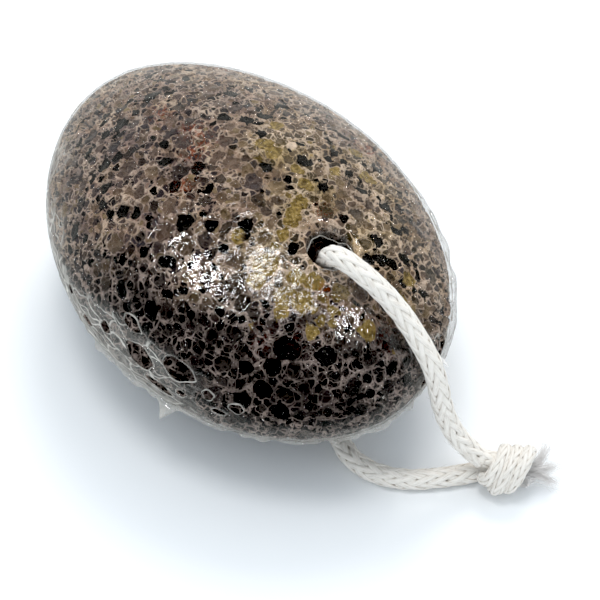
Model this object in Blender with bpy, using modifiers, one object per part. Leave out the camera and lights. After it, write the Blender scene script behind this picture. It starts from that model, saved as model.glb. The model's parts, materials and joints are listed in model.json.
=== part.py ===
"""A foot pumice on a cord: an egg-shaped block of foamed lava with a drilled hole, wrapped in a thin clear
shrink film, and a braided cotton cord that runs through the hole and is closed by an overhand knot.

Metres, +Z up. X is the stone's long axis, with the hole near its +X end. The stone rests on z = 0, and the
origin is the middle of its footprint.
"""
import math

import bmesh
import bpy
import numpy as np
from mathutils import Matrix, Vector

MM = 0.001

# The stone: an egg with a slightly boxy outline, wider by TAPER at its +X end and ground flat underneath.
STONE_HALF_SIZES = np.array([49.05, 33.65, 24.6]) * MM
CENTRE_HEIGHT = 23.7 * MM
BLOCKINESS = 1.9
TAPER = 0.055

# Its foam: bubbles about CELL_SPACING apart, each an open pit that ends in ridges shared with its neighbours.
# Those on the ground side are worn to GROUND_SHARE of their depth.
CELL_COUNT = 870
CELL_SPACING = 3.25 * MM
CELL_VARIATION = (0.8, 0.95, 1.3)
CELL_DEPTH = (0.8 * MM, 2.0 * MM)
GROUND_SHARE = 0.3
SEED = 11

# Burst bubbles on the upper side: x, y and radius in millimetres.
LARGE_PITS = [
    (24.4, -9.5, 2.7), (25.5, -12.0, 2.2), (31.8, -8.6, 3.4), (31.5, -3.6, 2.2), (18.0, 1.0, 3.0),
    (1.7, 4.5, 2.3), (4.8, 4.6, 1.9), (13.8, 5.8, 1.9), (17.6, -10.6, 1.9), (7.6, 20.6, 1.9),
    (14.1, 18.7, 1.9), (35.2, 14.0, 1.9), (41.6, 0.5, 2.3), (37.4, -13.2, 2.9), (42.0, -8.2, 2.2),
    (8.2, -16.4, 2.2), (16.5, -8.6, 1.8), (-3.2, -23.0, 1.8), (-15.6, -19.6, 1.8), (0.2, -8.6, 1.6),
    (31.6, 10.4, 1.7), (16.4, 24.4, 1.7), (-6.0, 5.2, 1.8), (26.3, 17.0, 1.7), (-20.0, 6.0, 2.4),
    (-30.0, -8.0, 2.0), (-34.0, 9.0, 2.3), (-14.0, 17.0, 2.0), (-26.0, -17.0, 2.2), (36.0, 3.0, 1.8),
]
LARGE_PIT_ROOM = 1.9         # how near another bubble may come, and how deep the pit is: shares of its radius
LARGE_PIT_DEPTH = 0.85
TRIES_PER_CELL = 40

# The drilled hole for the cord: upright, with a worn mouth on the upper side.
HOLE_X = 27.0 * MM
HOLE_Y = 2.3 * MM
HOLE_RADIUS = 4.2 * MM
MOUTH_RADIUS = 4.9 * MM
MOUTH_DEPTH = 1.4 * MM
MOUTH_OVERLAP = 0.01 * MM    # the mouth's foot is this much inside the drilled wall, so no sliver is left
MOUTH_RUN_OUT = 3.0          # the mouth's cone goes on above the face, to this many times its depth
UPPER_FACE_AT_HOLE = 43.9 * MM
DRILL_FOOT = -10.0 * MM
DRILL_LENGTH = 70.0 * MM
ROUND_SEGMENTS = 24
GROUND_BLOCK = Vector((120.0, 90.0, 10.0)) * MM    # what is cut away below a level

# The shrink film: a thin skin that follows the stone and is open at the cord and round the flat.
FILM_CLEARANCE = 0.6 * MM
FILM_THICKNESS = 0.25 * MM
FILM_HEM_HEIGHT = 0.5 * MM
FILM_SUBDIVISIONS = 4
FILM_MOUTH_RADIUS = 6.4 * MM
FILM_UPPER_MOUTH = Vector((HOLE_X + 0.6 * MM, HOLE_Y - 0.3 * MM, 36.0 * MM))
FILM_UPPER_MOUTH_HEIGHT = 20.0 * MM
FILM_LOWER_MOUTH = Vector((HOLE_X + 3.2 * MM, HOLE_Y, -10.0 * MM))
FILM_LOWER_MOUTH_HEIGHT = 24.0 * MM
FILM_LOWER_MOUTH_STRETCH = 1.2

# The cord: a 4 mm cotton braid. Its route is given in millimetres, from the knot over the stone's end, down
# the hole, out underneath and back along the table to the knot.
CORD_DIAMETER = 4.0 * MM
CORD_POINT_SPACING = 2.7 * MM
CURVE_STEPS = 16             # points on each piece of the smooth curve between two points of the route
CORD_ROUTE = [
    (56.3, 16.8, 6.3), (54.8, 15.5, 7.8), (52.9, 13.7, 10.7), (51.4, 12.1, 14.9), (50.6, 10.9, 20.0),
    (50.3, 10.0, 25.0), (49.2, 9.1, 29.9), (46.6, 7.9, 34.4), (43.3, 6.6, 38.3), (40.2, 5.0, 41.4),
    (37.2, 3.2, 43.9), (34.4, 1.8, 45.3), (31.3, 1.1, 45.0), (28.8, 1.2, 42.9), (27.3, 1.6, 40.0),
    (26.6, 1.9, 36.0), (26.1, 2.2, 28.0), (25.7, 2.4, 19.0), (25.6, 2.6, 13.0), (26.4, 2.5, 8.6),
    (28.4, 1.9, 5.2), (31.6, 0.8, 2.9), (35.6, -0.4, 2.05), (39.8, -1.0, 2.05), (43.8, -0.2, 2.05),
    (47.4, 2.0, 2.05), (50.4, 5.4, 2.05), (52.6, 9.6, 2.05), (54.3, 13.8, 2.05), (55.4, 17.3, 2.1),
]

# The overhand knot, drawn tight round the doubled cord, and the cut ends that fray out of it.
KNOT_CENTRE = Vector((59.7, 20.2, 4.8)) * MM
KNOT_AXIS = Vector((0.53, 0.848, 0.0)).normalized()
KNOT_HALF_LENGTH = 3.7 * MM
KNOT_RADIUS = 4.15 * MM
KNOT_WRAPS = 3
KNOT_SEGMENTS = (20, 14)     # round the axis, and along it
WRAP_HEIGHT = 0.55 * MM
FRAY_ROOT_RADIUS = 1.9 * MM
FRAY_ROOT_HEIGHT = 4.0 * MM
FRAY_START_RADIUS = 1.3 * MM
FRAY_SEGMENTS = 10
FRAY_ROOT_SUBDIVISIONS = 2
FRAY_TIPS = [
    ((57.6, 31.2, 3.4), 1.4 * MM),
    ((63.2, 30.6, 2.6), 1.6 * MM),
    ((66.6, 27.6, 1.8), 1.5 * MM),
]

GAP = 0.35 * MM              # between pieces that touch


def empty_the_scene():
    """Remove every object that the file already holds."""
    for thing in list(bpy.data.objects):
        bpy.data.objects.remove(thing, do_unlink=True)


def new_collection(name):
    """A collection linked to the scene."""
    collection = bpy.data.collections.new(name)
    bpy.context.scene.collection.children.link(collection)
    return collection


def principled(name, colour, roughness, alpha=1.0):
    """A material with one colour, a roughness and, for film, an alpha."""
    material = bpy.data.materials.new(name)
    material.use_nodes = True
    shader = material.node_tree.nodes["Principled BSDF"]
    shader.inputs["Base Color"].default_value = (*colour, 1.0)
    shader.inputs["Roughness"].default_value = roughness
    shader.inputs["Metallic"].default_value = 0.0
    shader.inputs["Alpha"].default_value = alpha
    material.diffuse_color = (*colour, alpha)
    return material


def add_object(name, bm, collection, material=None):
    """Turn a bmesh into a named object."""
    mesh = bpy.data.meshes.new(name)
    bm.to_mesh(mesh)
    bm.free()
    thing = bpy.data.objects.new(name, mesh)
    collection.objects.link(thing)
    if material is not None:
        mesh.materials.append(material)
    return thing


def as_cutter(thing):
    """Mark a helper shape: drawn as wire and never rendered."""
    thing.display_type = "WIRE"
    thing.hide_render = True
    return thing


def cut(thing, cutter):
    """Take one helper shape away from an object."""
    modifier = thing.modifiers.new("cut " + cutter.name, "BOOLEAN")
    modifier.operation = "DIFFERENCE"
    modifier.solver = "EXACT"
    modifier.object = cutter


def egg_points(directions, clearance=0.0):
    """The egg's surface along each direction, as much outside the stone as the clearance."""
    reach = (np.abs(directions) ** BLOCKINESS).sum(axis=1) ** (-1.0 / BLOCKINESS)
    unit = directions * reach[:, None]
    points = unit * (STONE_HALF_SIZES + clearance)
    points[:, 1] *= 1.0 + TAPER * unit[:, 0]
    points[:, 2] += CENTRE_HEIGHT
    return points


def random_directions(rng, count):
    """Directions spread evenly over the sphere."""
    height = rng.uniform(-1.0, 1.0, count)
    turn = rng.uniform(0.0, 2.0 * math.pi, count)
    ring = np.sqrt(1.0 - height**2)
    return np.stack([ring * np.cos(turn), ring * np.sin(turn), height], axis=1)


def large_pit_centres():
    """The burst bubbles' centres, raised onto the stone's upper side."""
    centres = []
    for x, y, _radius in LARGE_PITS:
        along = x * MM / STONE_HALF_SIZES[0]
        across = y * MM / (STONE_HALF_SIZES[1] * (1.0 + TAPER * along))
        rest = 1.0 - abs(along) ** BLOCKINESS - abs(across) ** BLOCKINESS
        height = CENTRE_HEIGHT + STONE_HALF_SIZES[2] * rest ** (1.0 / BLOCKINESS)
        centres.append((x * MM, y * MM, height))
    return centres


def bubbles(rng):
    """Bubble centres on the egg and their depths: the burst ones, then others thrown at random between them.

    A thrown bubble is kept where no other is nearer than the room that the other one needs.
    """
    centres = np.empty((CELL_COUNT, 3))
    rooms = np.empty(CELL_COUNT)
    count = len(LARGE_PITS)
    centres[:count] = large_pit_centres()
    rooms[:count] = [max(CELL_SPACING, LARGE_PIT_ROOM * radius * MM) for _x, _y, radius in LARGE_PITS]
    for point in egg_points(random_directions(rng, TRIES_PER_CELL * CELL_COUNT)):
        if count == CELL_COUNT:
            break
        if np.all(np.linalg.norm(centres[:count] - point, axis=1) > rooms[:count]):
            centres[count] = point
            rooms[count] = CELL_SPACING * rng.choice(CELL_VARIATION)
            count += 1
    depths = rng.uniform(*CELL_DEPTH, count)
    depths[:len(LARGE_PITS)] = [LARGE_PIT_DEPTH * radius * MM for _x, _y, radius in LARGE_PITS]
    depths[centres[:count, 2] < 0.0] *= GROUND_SHARE
    return centres[:count], depths


def foam_mesh():
    """A foam skin: bubble centres joined into a hull, whose edges are then turned onto the cell walls.

    Poking each triangle puts a new point where three bubbles meet. Turning each old edge joins two such
    points, so every bubble centre ends up inside a ring of walls, and is pressed in to make its pit.
    """
    centres, depths = bubbles(np.random.default_rng(SEED))
    bm = bmesh.new()
    for centre in centres:
        bm.verts.new(centre)
    floors = list(bm.verts)
    bmesh.ops.convex_hull(bm, input=bm.verts)
    old_edges = list(bm.edges)
    bmesh.ops.recalc_face_normals(bm, faces=bm.faces)
    bm.normal_update()
    inward = [-vert.normal for vert in floors]
    walls = bmesh.ops.poke(bm, faces=list(bm.faces))["verts"]
    bmesh.ops.rotate_edges(bm, edges=old_edges)
    middle = np.array([0.0, 0.0, CENTRE_HEIGHT])
    directions = (np.array([wall.co[:] for wall in walls]) - middle) / STONE_HALF_SIZES
    for wall, point in zip(walls, egg_points(directions)):
        wall.co = point
    for floor, way, depth in zip(floors, inward, depths):
        floor.co += way * depth
    bmesh.ops.recalc_face_normals(bm, faces=bm.faces)
    return bm


def ground_cutter(name, level, collection):
    """A flat block whose top is at a level, to cut away what lies below it."""
    bm = bmesh.new()
    bmesh.ops.create_cube(bm, size=1.0)
    bmesh.ops.scale(bm, vec=GROUND_BLOCK, verts=bm.verts)
    bmesh.ops.translate(bm, vec=(0.0, 0.0, level - GROUND_BLOCK.z / 2), verts=bm.verts)
    return as_cutter(add_object(name, bm, collection))


def cone_cutter(name, foot, height, foot_radius, top_radius, collection, stretch=1.0):
    """An upright cone or cylinder to cut with, standing on its foot and stretched along X."""
    bm = bmesh.new()
    bmesh.ops.create_cone(
        bm, cap_ends=True, segments=ROUND_SEGMENTS, radius1=foot_radius, radius2=top_radius, depth=height
    )
    bmesh.ops.scale(bm, vec=(stretch, 1.0, 1.0), verts=bm.verts)
    bmesh.ops.translate(bm, vec=Vector(foot) + Vector((0.0, 0.0, height / 2)), verts=bm.verts)
    return as_cutter(add_object(name, bm, collection))


def pumice_stone(parts, cutters):
    """The stone: foam all over, ground flat underneath and drilled through near its +X end."""
    stone = add_object(
        "pumice_stone", foam_mesh(), parts, principled("lava pumice", (0.150, 0.122, 0.112), 0.95)
    )
    flare = MOUTH_RADIUS - HOLE_RADIUS
    cutting_shapes = [
        ground_cutter("ground flat", 0.0, cutters),
        cone_cutter("drill", (HOLE_X, HOLE_Y, DRILL_FOOT), DRILL_LENGTH, HOLE_RADIUS, HOLE_RADIUS, cutters),
        cone_cutter(
            "upper mouth", (HOLE_X, HOLE_Y, UPPER_FACE_AT_HOLE - MOUTH_DEPTH), MOUTH_RUN_OUT * MOUTH_DEPTH,
            HOLE_RADIUS - MOUTH_OVERLAP, HOLE_RADIUS + MOUTH_RUN_OUT * flare, cutters,
        ),
    ]
    for shape in cutting_shapes:
        cut(stone, shape)
    return stone


def shrink_film(parts, cutters):
    """The film: an open-ended skin round the egg, thickened outwards."""
    bm = bmesh.new()
    bmesh.ops.create_icosphere(bm, subdivisions=FILM_SUBDIVISIONS, radius=1.0)
    directions = np.array([vert.co[:] for vert in bm.verts])
    for vert, point in zip(bm.verts, egg_points(directions, FILM_CLEARANCE)):
        vert.co = point
    clear = principled("clear shrink film", (0.90, 0.90, 0.90), 0.12, 0.25)
    film = add_object("shrink_film", bm, parts, clear)
    film.data.shade_smooth()
    wall = film.modifiers.new("film thickness", "SOLIDIFY")
    wall.thickness = FILM_THICKNESS
    wall.offset = 1.0
    cutting_shapes = [
        ground_cutter("film hem", FILM_HEM_HEIGHT, cutters),
        cone_cutter(
            "film upper mouth", FILM_UPPER_MOUTH, FILM_UPPER_MOUTH_HEIGHT,
            FILM_MOUTH_RADIUS, FILM_MOUTH_RADIUS, cutters,
        ),
        cone_cutter(
            "film lower mouth", FILM_LOWER_MOUTH, FILM_LOWER_MOUTH_HEIGHT,
            FILM_MOUTH_RADIUS, FILM_MOUTH_RADIUS, cutters, stretch=FILM_LOWER_MOUTH_STRETCH,
        ),
    ]
    for shape in cutting_shapes:
        cut(film, shape)
    return film


def smooth_route(points):
    """A smooth curve through the points: cubic pieces whose slopes come from the points on either side."""
    points = np.array(points)
    along = np.concatenate([[0.0], np.cumsum(np.linalg.norm(np.diff(points, axis=0), axis=1))])
    slopes = np.gradient(points, along, axis=0)
    s = np.linspace(0.0, 1.0, CURVE_STEPS, endpoint=False)[:, None]
    pieces = []
    for i, length in enumerate(np.diff(along)):
        start = (2 * s**3 - 3 * s**2 + 1) * points[i] + (s**3 - 2 * s**2 + s) * length * slopes[i]
        end = (3 * s**2 - 2 * s**3) * points[i + 1] + (s**3 - s**2) * length * slopes[i + 1]
        pieces.append(start + end)
    return np.vstack(pieces + [points[-1:]])


def evenly_spaced(curve, spacing):
    """Points at equal distances along a closely sampled curve."""
    along = np.concatenate([[0.0], np.cumsum(np.linalg.norm(np.diff(curve, axis=0), axis=1))])
    stops = np.linspace(0.0, along[-1], round(along[-1] / spacing) + 1)
    return np.stack([np.interp(stops, along, curve[:, axis]) for axis in range(3)], axis=1)


def cord(parts, cotton):
    """The cord, as a plain tube along its route."""
    route = evenly_spaced(smooth_route(CORD_ROUTE) * MM, CORD_POINT_SPACING)
    curve = bpy.data.curves.new("cord", "CURVE")
    curve.dimensions = "3D"
    curve.bevel_depth = CORD_DIAMETER / 2
    curve.bevel_resolution = 2
    curve.use_fill_caps = True
    spline = curve.splines.new("POLY")
    spline.points.add(len(route) - 1)
    for point, place in zip(spline.points, route):
        point.co = (*place, 1.0)
    spline.use_smooth = True
    curve.materials.append(cotton)
    thing = bpy.data.objects.new("cord", curve)
    parts.objects.link(thing)
    return thing


def cord_knot(parts, cotton):
    """The knot: a ball, longer along the cord, with the cord's wraps standing out as slanted ridges."""
    bm = bmesh.new()
    around, along_axis = KNOT_SEGMENTS
    bmesh.ops.create_uvsphere(bm, u_segments=around, v_segments=along_axis, radius=1.0)
    side = Vector((-KNOT_AXIS.y, KNOT_AXIS.x, 0.0))
    for vert in bm.verts:
        across, up, along = vert.co
        turn = math.atan2(up, across)
        ridge = math.cos(math.pi * KNOT_WRAPS * along + turn) * (1.0 - along**2)
        reach = KNOT_RADIUS + WRAP_HEIGHT * ridge
        offset = KNOT_AXIS * along * KNOT_HALF_LENGTH + side * across * reach
        vert.co = KNOT_CENTRE + offset + Vector((0.0, 0.0, up * reach))
    knot = add_object("cord_knot", bm, parts, cotton)
    knot.data.shade_smooth()
    return knot


def tuft(name, start, tip, start_radius, tip_radius, collection):
    """One lock of frayed cotton: a cone from its start to its tip."""
    way = Vector(tip) - Vector(start)
    bm = bmesh.new()
    bmesh.ops.create_cone(
        bm, cap_ends=True, segments=FRAY_SEGMENTS, radius1=start_radius, radius2=tip_radius, depth=way.length
    )
    turn = way.to_track_quat("Z", "Y").to_matrix().to_4x4()
    bmesh.ops.transform(bm, matrix=Matrix.Translation(Vector(start) + way / 2) @ turn, verts=bm.verts)
    return as_cutter(add_object(name, bm, collection))


def cord_frayed_ends(parts, cutters, cotton):
    """The cut ends beyond the knot: a bunched root, with three locks fused into it."""
    root_at = KNOT_CENTRE + KNOT_AXIS * (KNOT_HALF_LENGTH + GAP + FRAY_ROOT_RADIUS)
    root_at.z = FRAY_ROOT_HEIGHT
    bm = bmesh.new()
    bmesh.ops.create_icosphere(bm, subdivisions=FRAY_ROOT_SUBDIVISIONS, radius=FRAY_ROOT_RADIUS)
    bmesh.ops.translate(bm, vec=root_at, verts=bm.verts)
    ends = add_object("cord_frayed_ends", bm, parts, cotton)
    for number, (tip, tip_radius) in enumerate(FRAY_TIPS, start=1):
        name = f"lock {number}"
        lock = tuft(name, root_at, Vector(tip) * MM, FRAY_START_RADIUS, tip_radius, cutters)
        fuse = ends.modifiers.new("fuse " + name, "BOOLEAN")
        fuse.operation = "UNION"
        fuse.solver = "EXACT"
        fuse.object = lock
    return ends


def build():
    """Make the five pieces."""
    empty_the_scene()
    parts = new_collection("pumice stone on a cord")
    cutters = new_collection("cutters")
    cotton = principled("white cotton braid", (0.82, 0.80, 0.75), 0.9)
    pumice_stone(parts, cutters)
    shrink_film(parts, cutters)
    cord(parts, cotton)
    cord_knot(parts, cotton)
    cord_frayed_ends(parts, cutters, cotton)


build()
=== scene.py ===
# %% [markdown]
# A foot pumice on a cord
#
# The object is an egg-shaped block of foamed lava, ground to shape and drilled near one end. A braided
# cotton cord runs through the hole and is closed by an overhand knot. A thin clear shrink film is still
# tight round the stone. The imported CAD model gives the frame: every length here is in metres, and the stone
# rests on z = 0 with its long axis along X.

# %% Load the frame
import json
import math
from functools import partial

import bpy
import numpy as np
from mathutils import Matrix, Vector

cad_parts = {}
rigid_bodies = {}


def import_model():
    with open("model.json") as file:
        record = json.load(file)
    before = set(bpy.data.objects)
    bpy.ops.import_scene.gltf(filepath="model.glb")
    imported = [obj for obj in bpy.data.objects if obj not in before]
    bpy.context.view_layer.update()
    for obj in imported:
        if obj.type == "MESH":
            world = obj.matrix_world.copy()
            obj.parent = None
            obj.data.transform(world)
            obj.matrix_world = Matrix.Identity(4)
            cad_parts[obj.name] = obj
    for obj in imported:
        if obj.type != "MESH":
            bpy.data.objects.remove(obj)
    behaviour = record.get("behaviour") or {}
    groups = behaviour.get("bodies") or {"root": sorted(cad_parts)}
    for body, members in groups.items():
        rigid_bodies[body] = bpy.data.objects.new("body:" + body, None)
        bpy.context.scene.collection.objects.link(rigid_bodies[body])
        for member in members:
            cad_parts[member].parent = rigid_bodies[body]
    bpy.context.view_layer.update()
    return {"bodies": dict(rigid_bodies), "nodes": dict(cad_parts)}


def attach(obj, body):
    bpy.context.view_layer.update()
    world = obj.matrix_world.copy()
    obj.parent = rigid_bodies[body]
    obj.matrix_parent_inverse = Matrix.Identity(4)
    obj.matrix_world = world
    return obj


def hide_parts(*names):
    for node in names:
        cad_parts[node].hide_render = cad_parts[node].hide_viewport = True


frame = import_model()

MM = 0.001
BODY = next(iter(frame["bodies"]))
print("nodes:", sorted(frame["nodes"]), "body:", BODY)

# %% [markdown]
# The camera comes first. It looks down on the stone from one end, with a long lens, so that the far side is
# hardly smaller than the near side. Its place is worked out from two angles and a distance.

# %% Camera
AZIMUTH = math.radians(57.86)
ELEVATION = math.radians(45.0)
DISTANCE = 417.8 * MM
LOOK_AT = np.array([18.8, 1.25, 23.7]) * MM


def way_to_camera(azimuth, elevation):
    """Unit vector from the object to a camera: azimuth turns it round Z, elevation lifts it."""
    level = math.cos(elevation)
    return np.array([math.sin(azimuth) * level, -math.cos(azimuth) * level, math.sin(elevation)])


def aim(thing, place, target):
    """Put a camera or a lamp at a place and turn its -Z axis to the target."""
    thing.location = place
    way = Vector(target) - Vector(place)
    thing.rotation_euler = way.to_track_quat("-Z", "Y").to_euler()


camera = bpy.data.objects.new("camera", bpy.data.cameras.new("camera"))
camera.data.lens, camera.data.sensor_width = 136.9, 36.0
camera.data.clip_start = 10.0 * MM
bpy.context.scene.collection.objects.link(camera)
bpy.context.scene.camera = camera
aim(camera, LOOK_AT + DISTANCE * way_to_camera(AZIMUTH, ELEVATION), LOOK_AT)
print("camera at", [round(v, 3) for v in camera.location])

# %% [markdown]
# The cord is a white cotton braid, 4 mm across. From the knot it climbs over the stone's end, drops through
# the hole, comes out underneath and lies on the table back to the knot. Its route is a list of points, and a
# smooth curve joins them: cubic pieces whose slopes come from the neighbouring points.

# %% The cord's route
CORD_DIAMETER = 4.0 * MM
CORD_SPACING = 0.4 * MM
CORD_ROUTE = [
    (56.3, 16.8, 6.3), (54.8, 15.5, 7.8), (52.9, 13.7, 10.7), (51.4, 12.1, 14.9), (50.6, 10.9, 20.0),
    (50.3, 10.0, 25.0), (49.2, 9.1, 29.9), (46.6, 7.9, 34.4), (43.3, 6.6, 38.3), (40.2, 5.0, 41.4),
    (37.2, 3.2, 43.9), (34.4, 1.8, 45.3), (31.3, 1.1, 45.0), (28.8, 1.2, 42.9), (27.3, 1.6, 40.0),
    (26.6, 1.9, 36.0), (26.1, 2.2, 28.0), (25.7, 2.4, 19.0), (25.6, 2.6, 13.0), (26.4, 2.5, 8.6),
    (28.4, 1.9, 5.2), (31.6, 0.8, 2.9), (35.6, -0.4, 2.05), (39.8, -1.0, 2.05), (43.8, -0.2, 2.05),
    (47.4, 2.0, 2.05), (50.4, 5.4, 2.05), (52.6, 9.6, 2.05), (54.3, 13.8, 2.05), (55.4, 17.3, 2.1),
]


def distance_along(points):
    """How far each point of a path is from its start, measured along the path."""
    return np.concatenate([[0.0], np.cumsum(np.linalg.norm(np.diff(points, axis=0), axis=1))])


def smooth_route(points):
    """A curve through the points: on each piece, a cubic that matches both ends and their slopes."""
    points = np.array(points)
    along = distance_along(points)
    slopes = np.gradient(points, along, axis=0)
    s = np.linspace(0.0, 1.0, 16, endpoint=False)[:, None]
    pieces = []
    for i, length in enumerate(np.diff(along)):
        start = (2 * s**3 - 3 * s**2 + 1) * points[i] + (s**3 - 2 * s**2 + s) * length * slopes[i]
        end = (3 * s**2 - 2 * s**3) * points[i + 1] + (s**3 - s**2) * length * slopes[i + 1]
        pieces.append(start + end)
    return np.vstack(pieces + [points[-1:]])


def evenly_spaced(curve, spacing):
    """Points at equal distances along a closely sampled curve."""
    along = distance_along(curve)
    stops = np.linspace(0.0, along[-1], round(along[-1] / spacing) + 1)
    return np.stack([np.interp(stops, along, curve[:, axis]) for axis in range(3)], axis=1)


cord_path = evenly_spaced(smooth_route(CORD_ROUTE) * MM, CORD_SPACING)

# %% [markdown]
# Every new piece is a surface on a grid of rows and columns. Helpers turn such grids into a mesh: one
# numbers the four corners of each cell, and another hands the arrays to Blender.

# %% From grids to meshes
def grid_faces(rows, columns, close_rows=False, close_columns=False):
    """Corner numbers of each cell of a grid, whose points are numbered row by row."""
    i = np.arange(rows if close_rows else rows - 1)[:, None]
    j = np.arange(columns if close_columns else columns - 1)[None, :]
    down, right = (i + 1) % rows, (j + 1) % columns
    corners = [i * columns + j, down * columns + j, down * columns + right, i * columns + right]
    return np.stack(np.broadcast_arrays(*corners), axis=-1).reshape(-1, 4)


def many_grids(count, rows, columns, **closed):
    """The same grid's faces, repeated for a stack of equal grids."""
    one = grid_faces(rows, columns, **closed)
    return (one[None] + (np.arange(count) * rows * columns)[:, None, None]).reshape(-1, 4)


def new_piece(name, points, faces, material, smooth=True):
    """An object at the origin from points and a list of faces, and its count of triangles."""
    mesh = bpy.data.meshes.new(name)
    mesh.from_pydata(points, [], faces)
    mesh.validate()
    mesh.update()
    mesh.polygons.foreach_set("use_smooth", np.full(len(mesh.polygons), smooth))
    mesh.materials.append(material)
    piece = bpy.data.objects.new(name, mesh)
    bpy.context.scene.collection.objects.link(piece)
    print(f"{name}: {len(mesh.loops) - 2 * len(mesh.polygons)} triangles")
    return piece


def ring_piece(name, grids, material):
    """A piece from a stack of closed rings of closed section."""
    faces = many_grids(*grids.shape[:3], close_rows=True, close_columns=True)
    return new_piece(name, grids.reshape(-1, 3), faces.tolist(), material)


def store(piece, marks):
    """Keep named numbers, one a point, for the material to read."""
    for name, values in marks.items():
        attribute = piece.data.attributes.new(name, "FLOAT", "POINT")
        attribute.data.foreach_set("value", np.asarray(values, np.float32))


# %% [markdown]
# Materials are node graphs. Their colours are given as they look on a screen, in hex, and one function
# turns them into the linear values that the shader works in. Another adds a node of any kind: its inputs
# are given in their order or by name, and a node given as an input is linked by its first output.

# %% Colours and nodes
SMOOTH = {"interpolation_type": "SMOOTHSTEP"}


def colour(hex_code):
    """Linear red, green, blue and alpha from an sRGB hex code."""
    srgb = np.array([int(hex_code[i:i + 2], 16) for i in (1, 3, 5)]) / 255.0
    linear = np.where(srgb <= 0.04045, srgb / 12.92, ((srgb + 0.055) / 1.055) ** 2.4)
    return (*linear.tolist(), 1.0)


def add_node(tree, kind, *placed, stops=(), **named):
    """Add a node. Names in small letters are its settings, and names with capitals are its inputs."""
    made = tree.nodes.new("ShaderNode" + kind)
    for name in [name for name in named if name.islower()]:
        setattr(made, name, named.pop(name))
    for place, (position, hex_code) in enumerate(stops):
        element = made.color_ramp.elements[place] if place < 2 else made.color_ramp.elements.new(position)
        element.position, element.color = position, colour(hex_code)
    shown = [socket for socket in made.inputs if socket.enabled]
    for name, value in [*enumerate(placed), *named.items()]:
        socket = shown[name] if isinstance(name, int) else made.inputs[name.replace("_", " ")]
        if isinstance(value, bpy.types.Node):
            value = next(output for output in value.outputs if output.enabled)
        if isinstance(value, bpy.types.NodeSocket):
            tree.links.new(value, socket)
        else:
            socket.default_value = value
    return made


def empty_material(name):
    """A named material without nodes, and the function above for its tree."""
    material = bpy.data.materials.new(name)
    material.use_nodes = True
    material.node_tree.nodes.clear()
    return material, partial(add_node, material.node_tree)


def coats(add, base, *layers):
    """Colours laid over a base one after another, each at its own share."""
    for share, over in layers:
        base = add("Mix", share, base, over, data_type="RGBA")
    return base


# %% [markdown]
# The cord's cotton is spun, not woven: each strand is a bundle of fine fibres that lie along it. The fibres
# are far too thin to draw one by one, so a noise stretched along the strand stands for groups of them,
# 0.2 mm wide. It reads the piece's own map, in millimetres along each strand and in four steps round it.

# %% Cotton
FULL_TURN = 2.0 * math.pi
MAP_ROUND = 4.0


def cotton_material(name, light, shade, edge_shade, crevice_shade_share, covering):
    """Bleached cotton yarn, carded, spun and braided: matt, with a soft sheen, fine lengthwise lines, and
    painted shade where each yarn turns in between its neighbours.
    """
    material, add = empty_material(name)
    along = add("UVMap", uv_map="yarn")
    stretched = add("Mapping", along, Scale=(0.45, 5.0, 1.0))
    fibres = add("TexNoise", stretched, Scale=1.0, Detail=3.0, Roughness=0.65)
    lines = add("ValToRGB", fibres, stops=[(0.34, shade), (0.52, light)])
    # Painted shade: each yarn is painted darker along its sides and underside, where it turns in between its
    # neighbours.
    place_round = add("SeparateXYZ", along).outputs["Y"]
    round_yarn = add("Math", place_round, FULL_TURN / MAP_ROUND, operation="MULTIPLY")
    outward = add("Math", round_yarn, operation="COSINE")
    painted_crevice_shade = add("MapRange", outward, 0.0, 0.55, crevice_shade_share, 0.0)
    shader = add(
        "BsdfPrincipled", coats(add, lines, (painted_crevice_shade, colour(edge_shade))), Roughness=0.9, IOR=1.5,
        Sheen_Weight=0.2, Sheen_Roughness=0.5, Specular_IOR_Level=0.2, Alpha=covering,
        Normal=add("Bump", Strength=0.7, Distance=0.15 * MM, Height=fibres),
    )
    add("OutputMaterial", shader)
    return material


# The third colour is the painted shade on the sides of the yarns, and the number after it is its share.
cotton = cotton_material("bleached_cotton_braid", "#efeae3", "#dad2c8", "#b8ab9d", 0.7, 1.0)
loose_cotton = cotton_material("loose_cotton_fibres", "#fffdfb", "#fff6f2", "#fdf2ee", 0.1, 0.45)
print("materials:", cotton.name, loose_cotton.name)

# %% [markdown]
# A braid of sixteen yarns: eight wind one way round the cord and eight the other way, and each goes over two
# and under two. A yarn is a helix whose distance from the cord's middle rises and falls as it crosses the
# others. A flattened round section, carried along that helix, makes the yarn. A plain core fills the middle.

# %% A braid's yarns
HAND_COUNT = 8               # yarns that wind the same way
BRAID_PITCH = 29.0 * MM
YARN_HALF_WIDTH = 0.145      # all as a share of the cord's diameter
YARN_HALF_THICKNESS = 0.075
BRAID_MIDDLE = 0.385
BRAID_WAVE = 0.033
CORE_RADIUS = 0.35
YARN_SIDES = 10
YARN_SWAY = 0.10             # how far a yarn strays round the cord, in radians
YARN_SWELL = 0.010           # and how far in and out, as a share of the diameter


def unit(vectors):
    """Vectors scaled to a length of one."""
    return vectors / np.linalg.norm(vectors, axis=-1, keepdims=True)


def steps_round(count):
    """Equal steps of angle round a full turn."""
    return np.linspace(0.0, FULL_TURN, count, endpoint=False)


def turned(first, second, turn):
    """The direction reached by a turn from the first way to the second: its cosine and sine times them."""
    return np.cos(turn)[..., None] * first + np.sin(turn)[..., None] * second


def frames_along(path):
    """A tangent and two cross directions at each point, each turned from the last by as little as can be."""
    tangent = unit(np.gradient(path, axis=0))
    side = np.empty_like(path)
    side[0] = unit(np.cross(tangent[0], [0.0, 0.0, 1.0]))
    for i in range(1, len(path)):
        side[i] = unit(side[i - 1] - tangent[i] * (side[i - 1] @ tangent[i]))
    return tangent, side, np.cross(tangent, side)


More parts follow.
